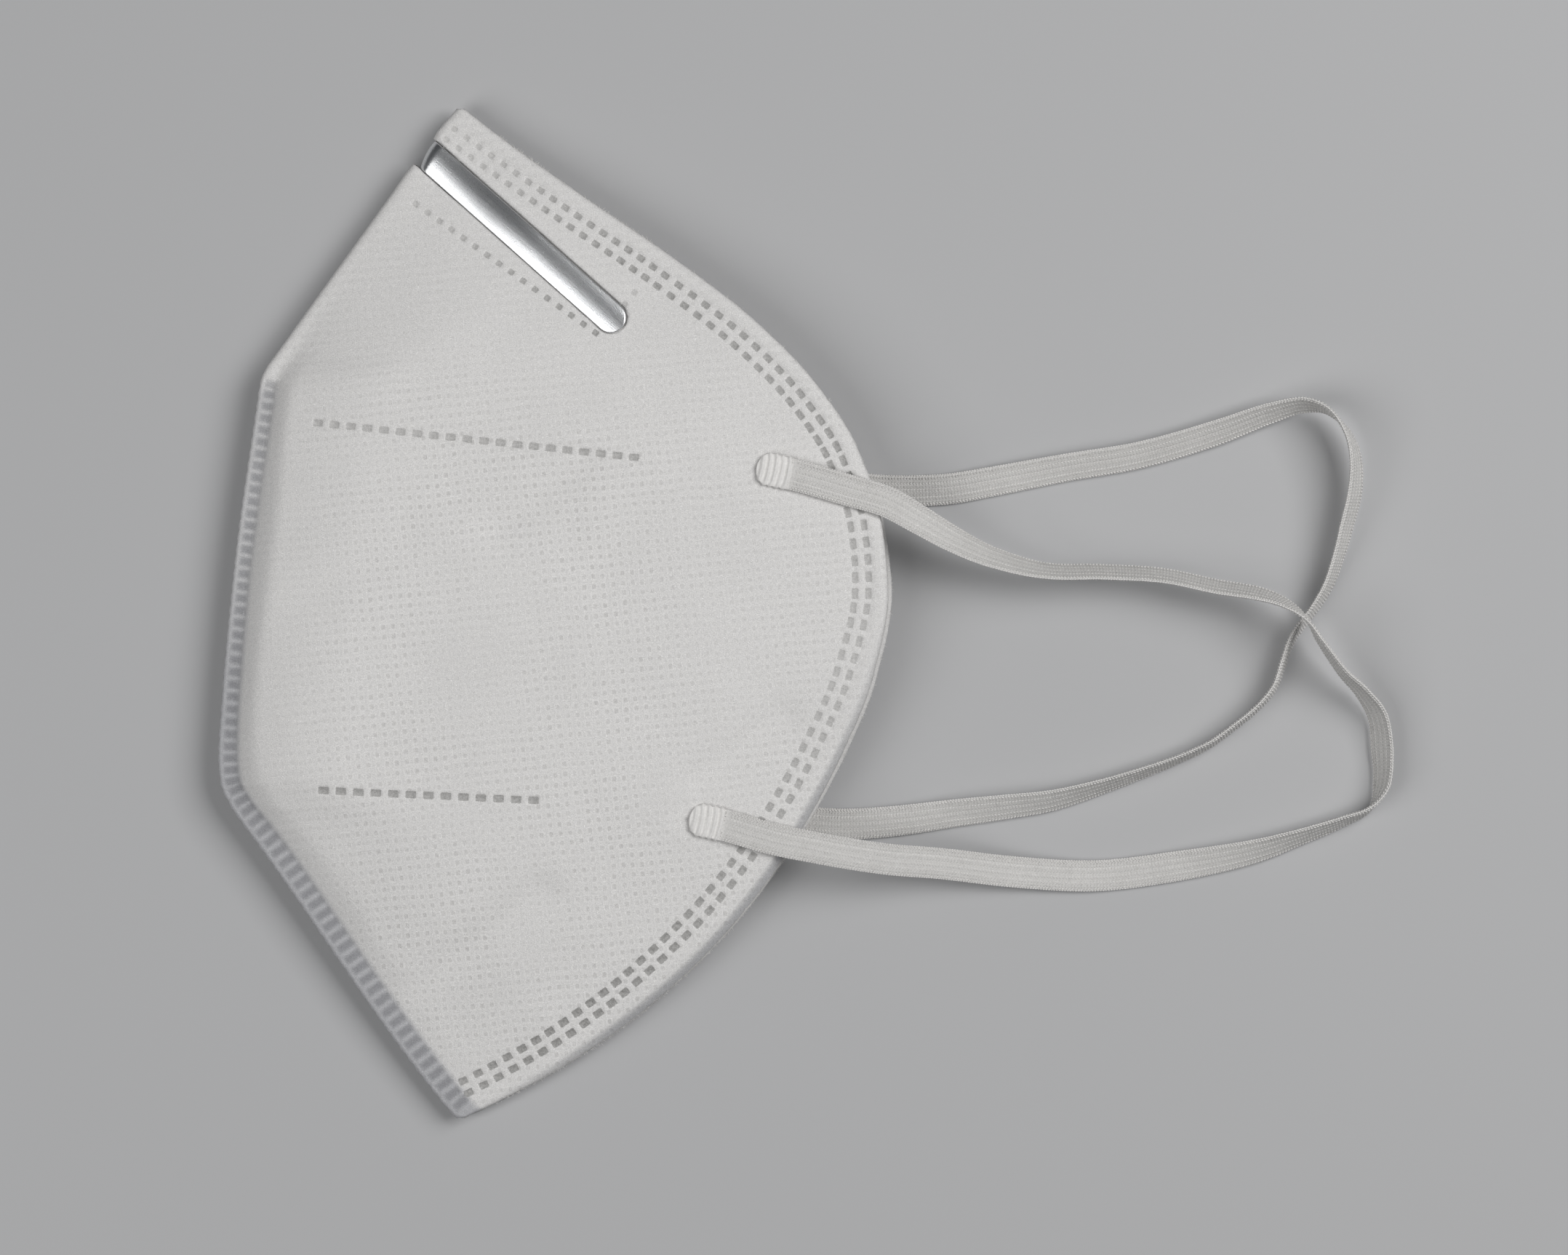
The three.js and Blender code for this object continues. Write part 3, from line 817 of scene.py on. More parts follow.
@dataclass(frozen=True)
class Scatter:
    """Geometry Nodes that set a small template on every point, by the points' own turns and sizes."""

    name: str
    seed: int
    loose_turn: float
    spread: float

    def tree(self) -> tuple[bpy.types.NodeTree, dict[str, str]]:
        """Builds the node tree.

        Returns:
            The tree, and the identifier of each named input.
        """
        group = bpy.data.node_groups.new(self.name, "GeometryNodeTree")
        kinds = {"Geometry": "Geometry", "Template": "Object", "Finish": "Material"}
        kinds |= {"Loose turn": "Float", "Size spread": "Float", "Seed": "Int"}
        names = {}
        for label, kind in kinds.items():
            made = group.interface.new_socket(label, in_out="INPUT", socket_type="NodeSocket" + kind)
            names[label] = made.identifier
        group.interface.new_socket("Geometry", in_out="OUTPUT", socket_type="NodeSocketGeometry")
        tree = Tree(group)
        entry = tree.node("NodeGroupInput", {}, {})
        points, template, finish, loose, spread, seed = (Value(tree, entry.outputs[label]) for label in kinds)
        vector = {"data_type": "FLOAT_VECTOR"}
        turn, size = (
            tree.value("GeometryNodeInputNamedAttribute", vector, {"Name": label}, "Attribute")
            for label in ("turn", "size")
        )
        stray = tree.value("FunctionNodeRandomValue", vector, {0: loose * -1, 1: loose, "Seed": seed})
        turned = tree.value("ShaderNodeVectorMath", {}, {0: turn, 1: stray})
        share = tree.value("FunctionNodeRandomValue", {}, {2: 1 - spread, 3: 1, "Seed": seed}, 1)
        setting = {
            "Points": points,
            "Instance": tree.value("GeometryNodeObjectInfo", {}, {"Object": template}, "Geometry"),
            "Rotation": tree.value("FunctionNodeEulerToRotation", {}, {"Euler": turned}),
            "Scale": tree.value("ShaderNodeVectorMath", {"operation": "SCALE"}, {0: size, "Scale": share}),
        }
        placed = tree.value("GeometryNodeInstanceOnPoints", {}, setting)
        real = tree.value("GeometryNodeRealizeInstances", {}, {0: placed})
        dressed = tree.value("GeometryNodeSetMaterial", {}, {"Geometry": real, "Material": finish})
        tree.node("NodeGroupOutput", {}, {0: dressed})
        return group, names

    def grow(self, points: Places, template: Shape, material: bpy.types.Material) -> bpy.types.Object:
        """Makes the plain mesh of all the templates.

        Args:
            points: Where they go, how they turn, their sizes and how deep in a groove they lie.
            template: Points of unit size and faces of one of them.
            material: Their finish.

        Returns:
            An object at the origin, with no modifier.
        """
        seed = new_piece(self.name + ".template", np.array(template[0]) / MM, template[1], material)
        spots = bpy.data.meshes.new(self.name + ".points")
        spots.from_pydata((points.at * MM).tolist(), [], [])
        cells = {"turn": points.turns, "size": points.sizes * MM, "groove": points.grooves}
        for label, column in cells.items():
            carry(spots, label, column)
        piece = bpy.data.objects.new(self.name, spots)
        bpy.context.scene.collection.objects.link(piece)
        tree, names = self.tree()
        modifier = piece.modifiers.new(self.name, "NODES")
        modifier.node_group = tree
        inputs = {"Template": seed, "Finish": material, "Loose turn": self.loose_turn}
        inputs |= {"Size spread": self.spread, "Seed": self.seed}
        for label, value in inputs.items():
            modifier[names[label]] = value
        graph = bpy.context.evaluated_depsgraph_get()
        grown = bpy.data.meshes.new_from_object(piece.evaluated_get(graph), depsgraph=graph)
        piece.modifiers.remove(modifier)
        piece.data = grown
        grown.name = self.name
        grown.shade_smooth()
        for label in ("turn", "size"):
            layer = grown.attributes.get(label)
            if layer is not None:
                grown.attributes.remove(layer)
        bpy.data.meshes.remove(spots)
        bpy.data.objects.remove(seed)
        return piece


@dataclass(frozen=True)
class StripRun:
    """Place of the nose strip on the web: its round end, heading to the fold, section and bed."""

    end: Span = (10.8, 45.0)
    heading: float = math.radians(138.2)
    reach: float = 39.9
    wide: float = 4.8
    thick: float = 0.9
    seat: float = 0.1
    notch: float = 1.8
    notch_run: float = 9.0
    notch_brink: float = 0.12
    bed: float = 0.6
    bed_brink: Span = (0.05, 0.3)

    @property
    def along(self) -> Array:
        """Direction from the round end to the fold."""
        return np.array([math.cos(self.heading), math.sin(self.heading)])

    @property
    def across(self) -> Array:
        """Direction to the left of that."""
        return np.array([-math.sin(self.heading), math.cos(self.heading)])

    def local(self, x: Array, y: Array) -> tuple[Array, Array]:
        """Distance from the fold's end back along the strip, and to its side, of points in plan."""
        off = np.stack([x - self.end[0], y - self.end[1]], -1)
        return self.reach - off @ self.along, off @ self.across

    def plan(self, run: Array) -> Array:
        """Points in plan at distances back from the fold's end."""
        return np.array(self.end) + (self.reach - np.asarray(run))[..., None] * self.along

    def notched(self, x: Array, y: Array) -> Array:
        """How far the fold is pressed back under the strip's bend."""
        run, side = self.local(x, y)
        return self.notch * (1 - rise(np.abs(side), self.wide / 2, self.notch_brink)) * (run < self.notch_run)

    def pressed(self, x: Array, y: Array) -> Array:
        """Depth to which the web is pressed in under the strip."""
        run, side = self.local(x, y)
        tip = np.maximum(run - (self.reach - self.wide / 2), 0)
        return self.bed * (1 - rise(np.hypot(side, tip) - self.wide / 2, *self.bed_brink))


@dataclass(frozen=True)
class WebForm:
    """Outside of the folded web, as the part's solid has it."""

    wall: float = 1.4
    blunt: float = 0.3
    lean_step: float = 0.5
    rim_lift: float = 1.6
    lift_span: Span = (18.0, 12.0)
    far_run: float = 14.0
    crown_run: float = 35.0
    strip: StripRun = StripRun()

    def squareness(self, table: Table, up: Array) -> Array:
        """Cosine of an edge's lean."""
        step = self.lean_step
        return 1 / np.hypot(1, (table.at("x", up + step) - table.at("x", up - step)) / (2 * step))

    def front(self, x: Array, y: Array) -> Array:
        """Distance in from the front edge, which is notched under the strip."""
        level = (x - FRONT_EDGE.at("x", y)) * self.squareness(FRONT_EDGE, y)
        return level - self.strip.notched(x, y) * (level < self.strip.notch_run)

    def face(self, x: Array, y: Array) -> Array:
        """Distance in from the rim at the face."""
        return (FACE_EDGE.at("x", y) - x) * self.squareness(FACE_EDGE, y)

    def hem_half(self, front: Array, thick: Array) -> Array:
        """Half the thickness of the front edge at a distance in from its rounded brink."""
        t = np.clip(2 * front / thick, 0, 1)
        return thick / 2 * lerp(self.blunt, 1, np.sqrt(1 - (1 - t) ** 2))

    @staticmethod
    def rounded(t: Array) -> Array:
        """Rise that starts at once and levels off."""
        return np.sin(np.pi / 2 * np.clip(t, 0, 1))

    @staticmethod
    def creased(x: Array, y: Array) -> Array:
        """Depth of the soft creases.

        Args:
            x: Points across the mask.
            y: Points along it.

        Returns:
            The depth at each point.
        """
        depth = np.zeros_like(x)
        for x0, y0, x1, y1, wide, deep in CREASES:
            run = np.array([x1 - x0, y1 - y0])
            off = np.stack([x - x0, y - y0], -1)
            share = np.clip(off @ run / (run @ run), 0, 1)
            away = np.linalg.norm(off - share[..., None] * run, axis=-1)
            depth += deep * np.exp(-((away / wide) ** 2))
        return depth

    def near(self, x: Array, y: Array) -> Array:
        """Height of the upper half's outside.

        Args:
            x: Points across the mask.
            y: Points along it.

        Returns:
            The height at each point.
        """
        front, face = self.front(x, y), self.face(x, y)
        thick, flat = FRONT_FORM.at("thick", y), FRONT_FORM.at("flat", y)
        mid = HEIGHTS.at("mid", y)
        top = lerp(HEIGHTS.at("lip", y), HEIGHTS.at("crown", y), ease(face / self.crown_run))
        top = top - self.creased(x, y)
        steep = self.rounded((front - flat) / FRONT_FORM.at("ramp", y))
        gentle = self.rounded((front - flat) / FRONT_FORM.at("rise", y))
        share = lerp(gentle, steep, FRONT_FORM.at("foot", y))
        return mid + self.hem_half(front, thick) + (top - mid - thick / 2) * share

    def far(self, x: Array, y: Array) -> Array:
        """Height of the lower half's outside, level where it rests.

        Args:
            x: Points across the mask.
            y: Points along it.

        Returns:
            The height at each point.
        """
        front, face = self.front(x, y), self.face(x, y)
        hem = HEIGHTS.at("mid", y) - self.hem_half(front, FRONT_FORM.at("thick", y))
        lift = self.rim_lift * (1 - rise(face, *self.lift_span))
        return hem + (lift - hem) * rise(front, FRONT_FORM.at("flat", y), self.far_run)

    def height(self, half: Half, x: Array, y: Array) -> Array:
        """Height of one half's outside."""
        return self.near(x, y) if half is Half.NEAR else self.far(x, y)


@dataclass(frozen=True)
class Edge:
    """One edge of the folded web in plan, read by the distance along it from nose to chin."""

    table: Table
    inward: int
    half_length: float = 80.0
    samples: int = 3201

    @cached_property
    def line(self) -> tuple[Array, Array, Array]:
        """Distances, points and inward directions along the edge."""
        ups = np.linspace(self.half_length, -self.half_length, self.samples)
        points = np.stack([self.table.at("x", ups), ups], 1)
        far = run_along(points)
        run = np.gradient(points, far, axis=0)
        return far, points, unit(np.stack([-run[:, 1], run[:, 0]], 1) * self.inward)

    @property
    def length(self) -> float:
        """Whole length of the edge."""
        return float(self.line[0][-1])

    def inwards(self, far: Array) -> Array:
        """Directions in from the edge at distances along it."""
        return read_along(far, self.line[0], self.line[2])

    def inset(self, far: Array, depth: Array | float = 0.0) -> Array:
        """Points at distances along the edge and depths in from it."""
        return read_along(far, *self.line[:2]) + self.inwards(far) * np.asarray(depth)[..., None]

    def heading(self, far: Array) -> Array:
        """Direction of the edge from nose to chin, as angles."""
        inward = self.inwards(far) * self.inward
        return np.arctan2(-inward[..., 0], inward[..., 1])


@dataclass
class Marks:
    """Pressed weld marks in plan: middle, heading, half length, half width, depth and tone of each."""

    at: Array
    heading: Array
    long: Array
    wide: Array
    deep: Array
    tone: Array
    corner: float = 0.14
    window: float = 3.2
    far_off: float = 1.5

    @classmethod
    def row(cls, at: Array, heading: Array | float, size: tuple, tone: Array | float) -> "Marks":
        """Marks in a row.

        Args:
            at: Middles in plan.
            heading: Angle of each, or one for all, as the sizes and tones are too.
            size: Length along the heading, width and depth.
            tone: Greyness, from 0 to 1.

        Returns:
            The marks.
        """
        each = np.ones(len(at))
        return cls(at, heading * each, size[0] / 2 * each, size[1] / 2 * each, size[2] * each, tone * each)

    @classmethod
    def joined(cls, *rows: "Marks") -> "Marks":
        """All the marks of several rows."""
        parts = ("at", "heading", "long", "wide", "deep", "tone")
        return cls(*(np.concatenate([getattr(row, part) for row in rows]) for part in parts))

    def measure(self, x: Array, y: Array, brink: float) -> tuple[Array, Array, Array]:
        """How points lie to the nearest mark.

        Args:
            x: Points across the mask.
            y: Points along it.
            brink: Width of the slope round a mark.

        Returns:
            Distances from the nearest mark's outline, less than 0 inside, its tone, and pressed depths.
        """
        gap, tone, depth = np.full_like(x, self.far_off), np.zeros_like(x), np.zeros_like(x)
        for k, (cx, cy) in enumerate(self.at):
            near = np.nonzero((np.abs(x - cx) < self.window) & (np.abs(y - cy) < self.window))[0]
            dx, dy = x[near] - cx, y[near] - cy
            c, s = math.cos(self.heading[k]), math.sin(self.heading[k])
            a = np.abs(dx * c + dy * s) - self.long[k] + self.corner
            b = np.abs(dy * c - dx * s) - self.wide[k] + self.corner
            off = np.hypot(np.maximum(a, 0), np.maximum(b, 0)) + np.minimum(np.maximum(a, b), 0) - self.corner
            closer = near[off < gap[near]]
            gap[near] = np.minimum(gap[near], off)
            tone[closer] = self.tone[k]
            depth[near] = np.maximum(depth[near], self.deep[k] * (1 - rise(off, -brink / 2, brink)))
        return gap, tone, depth


@dataclass(frozen=True)
class MarkRow:
    """A straight row of marks: first and last middle, how many, their size and the greyness at both ends."""

    start: Span
    end: Span
    count: int
    size: Sizes
    tone: Span

    def marks(self) -> Marks:
        """The row's marks."""
        a, b = np.array(self.start), np.array(self.end)
        share = np.linspace(0, 1, self.count)
        heading = math.atan2(b[1] - a[1], b[0] - a[0])
        return Marks.row(lerp(a, b, share[:, None]), heading, self.size, lerp(*self.tone, share))


@dataclass(frozen=True)
class WeldPattern:
    """Where the web is welded: two rows round the rim, rows across the panels and ribs down the seam.

    The panel's rows are the one under the strip, the one beyond its end and the two dashed stays.
    """

    rim_stops: tuple[tuple[int, float], ...] = ((0, 0.95), (17, 41.7), (33, 84.3), (65, 174.5), (80, 216.1))
    row_gap: float = 2.09
    rim_deep: float = 0.2
    panel_rows: tuple[MarkRow, ...] = (
        MarkRow((-22.0, 64.8), (6.6, 44.2), 16, (1.0, 0.9, 0.18), (0.4, 0.9)),
        MarkRow((12.7, 50.6), (11.2, 48.7), 2, (0.95, 0.85, 0.15), (0.35, 0.35)),
        MarkRow((-37.1, 30.0), (12.7, 24.55), 20, (1.55, 1.1, 0.24), (0.5, 0.7)),
        MarkRow((-36.15, -27.8), (-3.1, -29.35), 13, (1.65, 1.15, 0.26), (0.8, 0.8)),
    )
    rib_first: float = 53.4
    rib_count: int = 65
    rib_pitch: Span = (1.885, 0.00175)
    rib_wide: float = 1.2
    rib_deep: float = 0.2
    rib_start: float = 0.55
    rib_past: float = 0.2
    rib_fade: float = 0.2
    rim: Edge = Edge(FACE_EDGE, -1)
    seam: Edge = Edge(FRONT_EDGE, 1)

    @property
    def rim_fars(self) -> Array:
        """Distance of each weld along the rim."""
        numbers, fars = np.array(self.rim_stops).T
        return np.interp(np.arange(numbers[-1] + 1), numbers, fars)

    @property
    def rib_fars(self) -> Array:
        """Distance of each pressed bar along the front edge."""
        k = np.arange(self.rib_count)
        return self.rib_first + self.rib_pitch[0] * k + self.rib_pitch[1] * k**2

    def rim_marks(self) -> Marks:
        """The two rows of squares round the rim, smaller and fainter near the nose fold.

        Returns:
            The marks.
        """
        fars = self.rim_fars
        inset, long, wide, tone = (RIM_WELDS.at(column, -fars) for column in RIM_WELDS.columns[1:])
        size = (long, wide, self.rim_deep)
        rows = [self.rim.inset(fars, inset + gap) for gap in (0.0, self.row_gap)]
        return Marks.joined(*(Marks.row(row, self.rim.heading(fars), size, tone) for row in rows))

    def panel_marks(self) -> Marks:
        """The rows across a panel."""
        return Marks.joined(*(row.marks() for row in self.panel_rows))

    def rib_marks(self) -> Marks:
        """The bars pressed across the front seam.

        Returns:
            The marks.
        """
        fars = self.rib_fars
        end = FRONT_FORM.at("flat", self.seam.inset(fars)[:, 1]) + self.rib_past
        middles = self.seam.inset(fars, (self.rib_start + end) / 2)
        size = (end - self.rib_start - 2 * self.rib_fade, self.rib_wide, self.rib_deep)
        return Marks.row(middles, self.seam.heading(fars) + math.pi / 2, size, 1.0)


@dataclass
class Shell:
    """The web's mesh under construction: its points, what the finish reads there, map places and faces."""

    points: list[Array] = field(default_factory=list)
    press: list[Array] = field(default_factory=list)
    maps: list[Array] = field(default_factory=list)
    faces: list[list[int]] = field(default_factory=list)

    def add(self, points: Array, press: Array, maps: Array) -> int:
        """Adds points with what belongs to them.

        Args:
            points: The points.
            press: What the finish reads at each.
            maps: Place of each on the map.

        Returns:
            The number of the first point.
        """
        first = sum(len(part) for part in self.points)
        self.points.append(points)
        self.press.append(press)
        self.maps.append(maps)
        return first


@dataclass
class FoldedWeb:
    """The hollow folded web, with its welds pressed in, its rounded rim and its inner faces.

    A pair of sizes that shapes a slope is where the slope starts and how far it runs.
    """

    finish: WebFinish
    form: WebForm
    pattern: WeldPattern
    loop_rows: Array
    rim_rows: tuple[float, ...] = (0.06, 0.16, 0.32, 0.55, 0.85, 1.2, 1.6)
    weld_lines: tuple[float, ...] = (-0.18, 0.0, 0.2)
    seam_rows: tuple[float, ...] = (
        *(0.1, 0.25, 0.45, 0.7, 1.0, 1.4, 1.8, 2.2, 2.5, 2.75, 3.0, 3.3),
        *(3.6, 3.95, 4.35, 4.8, 5.3, 5.9, 6.6, 7.4),
    )
    seam_columns: tuple[float, ...] = (-0.5, -0.36, -0.22, 0.0, 0.22, 0.36)
    fold_rows: tuple[float, ...] = (0.12, 0.35, 0.8, 1.4, 2.2, 3.2)
    fold_step: float = 0.8
    fold_brink: tuple[float, ...] = (2.3, 2.4, 2.44, 2.48, 2.52, 2.75)
    fold_middle: float = 2.0
    fold_columns: int = 6
    fold_clear: float = 3.3
    fold_bulge: float = 0.12
    strip_rows: tuple[float, ...] = (2.1, 2.35, 2.5, 2.65, 2.8, 3.2)
    strip_step: float = 0.75
    strip_past: float = 1.2
    tip_columns: int = 9
    mark_lines: tuple[float, ...] = (-0.42, -0.2, 0.0, 0.18)
    cut_rows: tuple[Span, ...] = (
        *((-0.07, 0.1), (-0.1, 0.22), (0.06, 0.28), (-0.05, 0.36), (-0.08, 0.5), (0.05, 0.56), (0.1, 0.72)),
    )
    lip_rows: tuple[Span, ...] = ((0.32, 1.3), (0.7, 1.37), (1.2, 1.4))
    # hem carries the seam's grey and the painted shade of the upper half's rolled rim
    fields: tuple[str, ...] = ("weld_gap", "weld_tone", "bar_gap", "hem", "clear")
    plain: tuple[float, ...] = (1.5, 0.0, 1.5, 0.0, 0.5)
    half_wide: float = 54.0
    tip_up: float = 79.8
    hex_step: float = 1.12
    hex_gap: float = 0.6
    inner_step: float = 3.2
    inner_tip_up: float = 78.0
    shut_clear: Span = (1.2, 2.5)
    inner_clear: float = 2.8
    tip_gap: float = 0.3
    tip_step: float = 0.45
    seam_tip: float = 0.4
    weld_brink: float = 0.4
    rib_brink: float = 0.7
    hem_span: Span = (-0.3, 1.4)
    hem_top: Span = (38.0, -4.0)
    hem_pale: Sizes = (0.6, -18.0, 34.0)
    # painted shade along the upper half's rolled rim: its strength, and where it fades out in from the rim
    lip_painted_shade: Sizes = (0.75, 0.5, 1.1)
    clear_top: Span = (22.0, 26.0)
    clear_front: Span = (-46.0, 22.0)
    clear_side: Sizes = (0.5, 5.0, 20.0)
    clear_low: Span = (-35.0, 20.0)
    scallop: float = 0.14
    rim_round: Span = (0.5, 1.9)
    roll_nose: Span = (6.0, -46.0)
    roll_chin: Span = (-79.0, 16.0)
    roll_bend: float = 1.25
    roll_share: float = 0.85
    roll_squeeze: float = 0.4
    rim_share: float = 0.85
    lip_swell: Sizes = (0.22, 2.6, 6.0)
    ripple: float = 0.16
    ripple_span: Span = (3.0, 6.0)
    ripple_waves: tuple[Sizes, ...] = ((1.0, 9.0, 1.7), (0.4, 4.0, 5.2))
    loop_bed: float = 0.08
    loop_brink: Span = (2.5, 1.3)
    peek_run: float = 12.0
    shut_run: float = 5.0
    least_gap: float = 0.03
    layer_stray: Sizes = (0.12, 1.7, 3.1)
    map_start: float = 20.0
    map_steps: int = 25
    map_margin: float = 85.0
    map_column: float = 130.0
    merge: float = 0.01
    least_edge: float = 0.002

    @cached_property
    def marks(self) -> Marks:
        """The welds of the rim and the panel."""
        return Marks.joined(self.pattern.rim_marks(), self.pattern.panel_marks())

    @cached_property
    def ribs(self) -> Marks:
        """The bars of the seam."""
        return self.pattern.rib_marks()

    @cached_property
    def rim_fars(self) -> Array:
        """Distances of the mesh's columns along the rim, from nose to chin."""
        middles = self.pattern.rim_fars
        lines = RIM_WELDS.at("long", -middles)[:, None] / 2 + np.array(self.weld_lines)
        between = (middles + np.gradient(middles) / 2)[:, None]
        middles = middles[:, None]
        welds = np.concatenate([middles - lines[:, ::-1], middles, middles + lines, between], 1).ravel()
        welds = welds[welds > self.tip_gap]
        after = np.arange(self.pattern.rim.length, welds[-1] + self.tip_gap, -self.tip_step)[::-1]
        return np.concatenate([[0], welds, after])

    def seam_fars(self) -> Array:
        """Distances of the mesh's columns along the front edge, close together where the strip crosses it.

        Returns:
            The distances, from nose to chin.
        """
        ribs, edge, strip = self.pattern.rib_fars, self.pattern.seam, self.form.strip
        bars = (ribs[:, None] + np.array(self.seam_columns) * np.gradient(ribs)[:, None]).ravel()
        bars = bars[bars < edge.length - self.seam_tip]
        fold = np.arange(0, bars[0] - self.tip_gap, self.fold_step)
        run, side = strip.local(*edge.line[1].T)
        middle = edge.line[0][np.argmin(np.where(run > strip.notch_run, np.inf, np.abs(side)))]
        brink = np.array(self.fold_brink)
        across = np.linspace(middle - self.fold_middle, middle + self.fold_middle, self.fold_columns)
        crossing = np.concatenate([middle - brink[::-1], across, middle + brink])
        fold = np.concatenate([fold[np.abs(fold - middle) > self.fold_clear], crossing])
        return np.concatenate([np.sort(fold), bars, [edge.length]])

    def front_line(self, fars: Array) -> tuple[Array, Array]:
        """The mesh's front edge: scalloped between ribs and notched under the strip.

        Args:
            fars: Distances along the edge.

        Returns:
            Points in plan, and how far in from the edge each lies.
        """
        ribs = self.pattern.rib_fars
        turn = np.interp(fars, ribs, np.arange(len(ribs)))
        wave = self.scallop * (0.5 - 0.5 * np.cos(2 * np.pi * turn))
        notch = self.form.strip.notched(*self.pattern.seam.inset(fars).T)
        return self.pattern.seam.inset(fars, wave) - notch[:, None] * self.form.strip.along, wave + notch

    def plan(self) -> tuple[Array, list, Array, Array]:
        """Triangulates the panel in plan.

        Returns:
            Points, triangles, and the numbers of the rim's points and of the front's.
        """
        rim_fars, seam_fars = self.rim_fars, self.seam_fars()
        rim_edge, seam = self.pattern.rim, self.pattern.seam
        rim = rim_edge.inset(rim_fars)
        front, depth = self.front_line(seam_fars)
        bounds = np.concatenate([rim, front[::-1]])
        lines = RIM_WELDS.at("wide", -rim_fars) / 2 + np.array(self.weld_lines)[:, None]
        welds = [RIM_WELDS.at("inset", -rim_fars) + gap for gap in (0, self.pattern.row_gap)]
        rows = [np.full(len(rim_fars), row) for row in self.rim_rows]
        rows += [weld + row for weld in welds for row in (*-lines, 0, *lines)]
        ribbed = seam_fars >= self.pattern.rib_fars[0] - 1
        seam_lines = [
            seam.inset(seam_fars[chosen], depth[chosen] + row)
            for rows_in, chosen in ((self.seam_rows, ribbed), (self.fold_rows, ~ribbed))
            for row in rows_in
        ]
        points = bounds
        for added, gap, inside in (
            (np.concatenate([rim_edge.inset(rim_fars, row) for row in rows]), 0.05, 0.25),
            (np.concatenate(seam_lines), 0.08, 0.08),
            (self.strip_grid(), 0.15, 0.3),
            (self.mark_grids(), 0.12, 0.5),
            (self.hex_grid(self.hex_step), self.hex_step * self.hex_gap, 0.6),
        ):
            points = np.concatenate([points, self.kept(added, points, gap, inside)])
        placed, faces, origins = triangulate(points, len(bounds))
        place = np.zeros(len(points), int)
        for number, sources in enumerate(origins):
            place[sources] = number
        return placed, faces, place[: len(rim)], place[len(rim) : len(bounds)]

    def kept(self, points: Array, taken: Array, gap: float, inside: float, rim_gap: float = 0.05) -> Array:
        """Drops points that are too near others or too near the panel's edge.

        Args:
            points: Points in plan.
            taken: Points that are there already.
            gap: Smallest distance from a taken point.
            inside: Smallest distance in from the front edge.
            rim_gap: Smallest distance in from the rim.

        Returns:
            The points that stay.
        """
        x, y = points.T
        ok = (self.form.front(x, y) > inside) & (self.form.face(x, y) > rim_gap)
        points = points[ok & (np.abs(y) < self.tip_up)]
        tree = kdtree.KDTree(len(taken))
        for k, (a, b) in enumerate(taken):
            tree.insert((a, b, 0), k)
        tree.balance()
        return points[[tree.find((a, b, 0))[2] > gap for a, b in points]]

    def strip_grid(self) -> Array:
        """Points along and beside the nose strip and round its end.

        Returns:
            The points in plan.
        """
        strip = self.form.strip
        straight = strip.reach - strip.wide / 2
        runs = np.arange(0, strip.reach + self.strip_past, self.strip_step)
        sides = np.array(self.strip_rows)
        sides = np.concatenate([-sides[::-1], [-1, 0, 1], sides])
        grid = (strip.plan(runs)[:, None] + sides[None, :, None] * strip.across).reshape(-1, 2)
        tip = np.linspace(-math.pi / 2, math.pi / 2, self.tip_columns)[:, None]
        spokes = np.sin(tip) * strip.across - np.cos(tip) * strip.along
        rings = [strip.plan(np.array([straight]))[0] + radius * spokes for radius in self.strip_rows]
        return np.concatenate([grid[strip.local(*grid.T)[0] < straight + 0.2], *rings])

    def mark_grids(self) -> Array:
        """Points on and round each mark of the panel's rows.

        Returns:
            The points in plan.
        """
        marks = self.pattern.panel_marks()
        steps = np.array(self.mark_lines)
        grids = []
        for at, turn, long, wide in zip(marks.at, marks.heading, marks.long, marks.wide):
            a, b = (np.concatenate([steps - size, [0], -steps[::-1] + size]) for size in (long, wide))
            c, s = math.cos(turn), math.sin(turn)
            u, v = (cell.ravel() for cell in np.meshgrid(a, b))
            grids.append(at + np.stack([u * c - v * s, u * s + v * c], 1))
        return np.concatenate(grids)

    def hex_grid(self, step: float) -> Array:
        """Evenly spread points over the panel's box.

        Args:
            step: Distance between neighbours.

        Returns:
            The points in plan.
        """
        half_length = self.pattern.rim.half_length
        rows = np.arange(-half_length, half_length, step * math.sqrt(3) / 2)
        columns = np.arange(-self.half_wide, self.half_wide, step)
        x = columns[None, :] + (np.arange(len(rows)) % 2)[:, None] * step / 2
        return np.stack([x, np.broadcast_to(rows[:, None], x.shape)], -1).reshape(-1, 2)

    def outside(self, half: Half, plan: Array) -> tuple[Array, Array]:
        """Points of one half's outside with all that is pressed in it.

        Args:
            half: Which half.
            plan: Points in plan.

        Returns:
            Points, and what the finish reads at each, field by field.
        """
        x, y = plan.T
        front, face = self.form.front(x, y), self.form.face(x, y)
        weld_gap, tone, depth = self.marks.measure(x, y, self.weld_brink)
        bar_gap, _, ribbed = self.ribs.measure(x, y, self.rib_brink)
        swell, swell_run, fold_run = self.lip_swell
        swell = swell * np.sin(np.pi * np.clip(face / swell_run, 0, 1)) * ease(front / fold_run)
        sunk = np.maximum(depth, ribbed) + self.rim_drop(half, x, y) - swell + self.form.strip.pressed(x, y)
        z = self.form.height(half, x, y)
        if half is Half.NEAR:
            sunk = sunk + self.ripple * self.rippled(plan) * rise(front, *self.ripple_span)
            z = self.under_loop(x, y, z - sunk)
        else:
            z = np.maximum(z + sunk, 0)
        fields = (weld_gap, tone, bar_gap, self.seam_grey_and_lip_shade(half, x, y), self.dot_share(x, y))
        return np.stack([self.peeked(half, x, y), y, z], 1), np.stack(fields, 1)

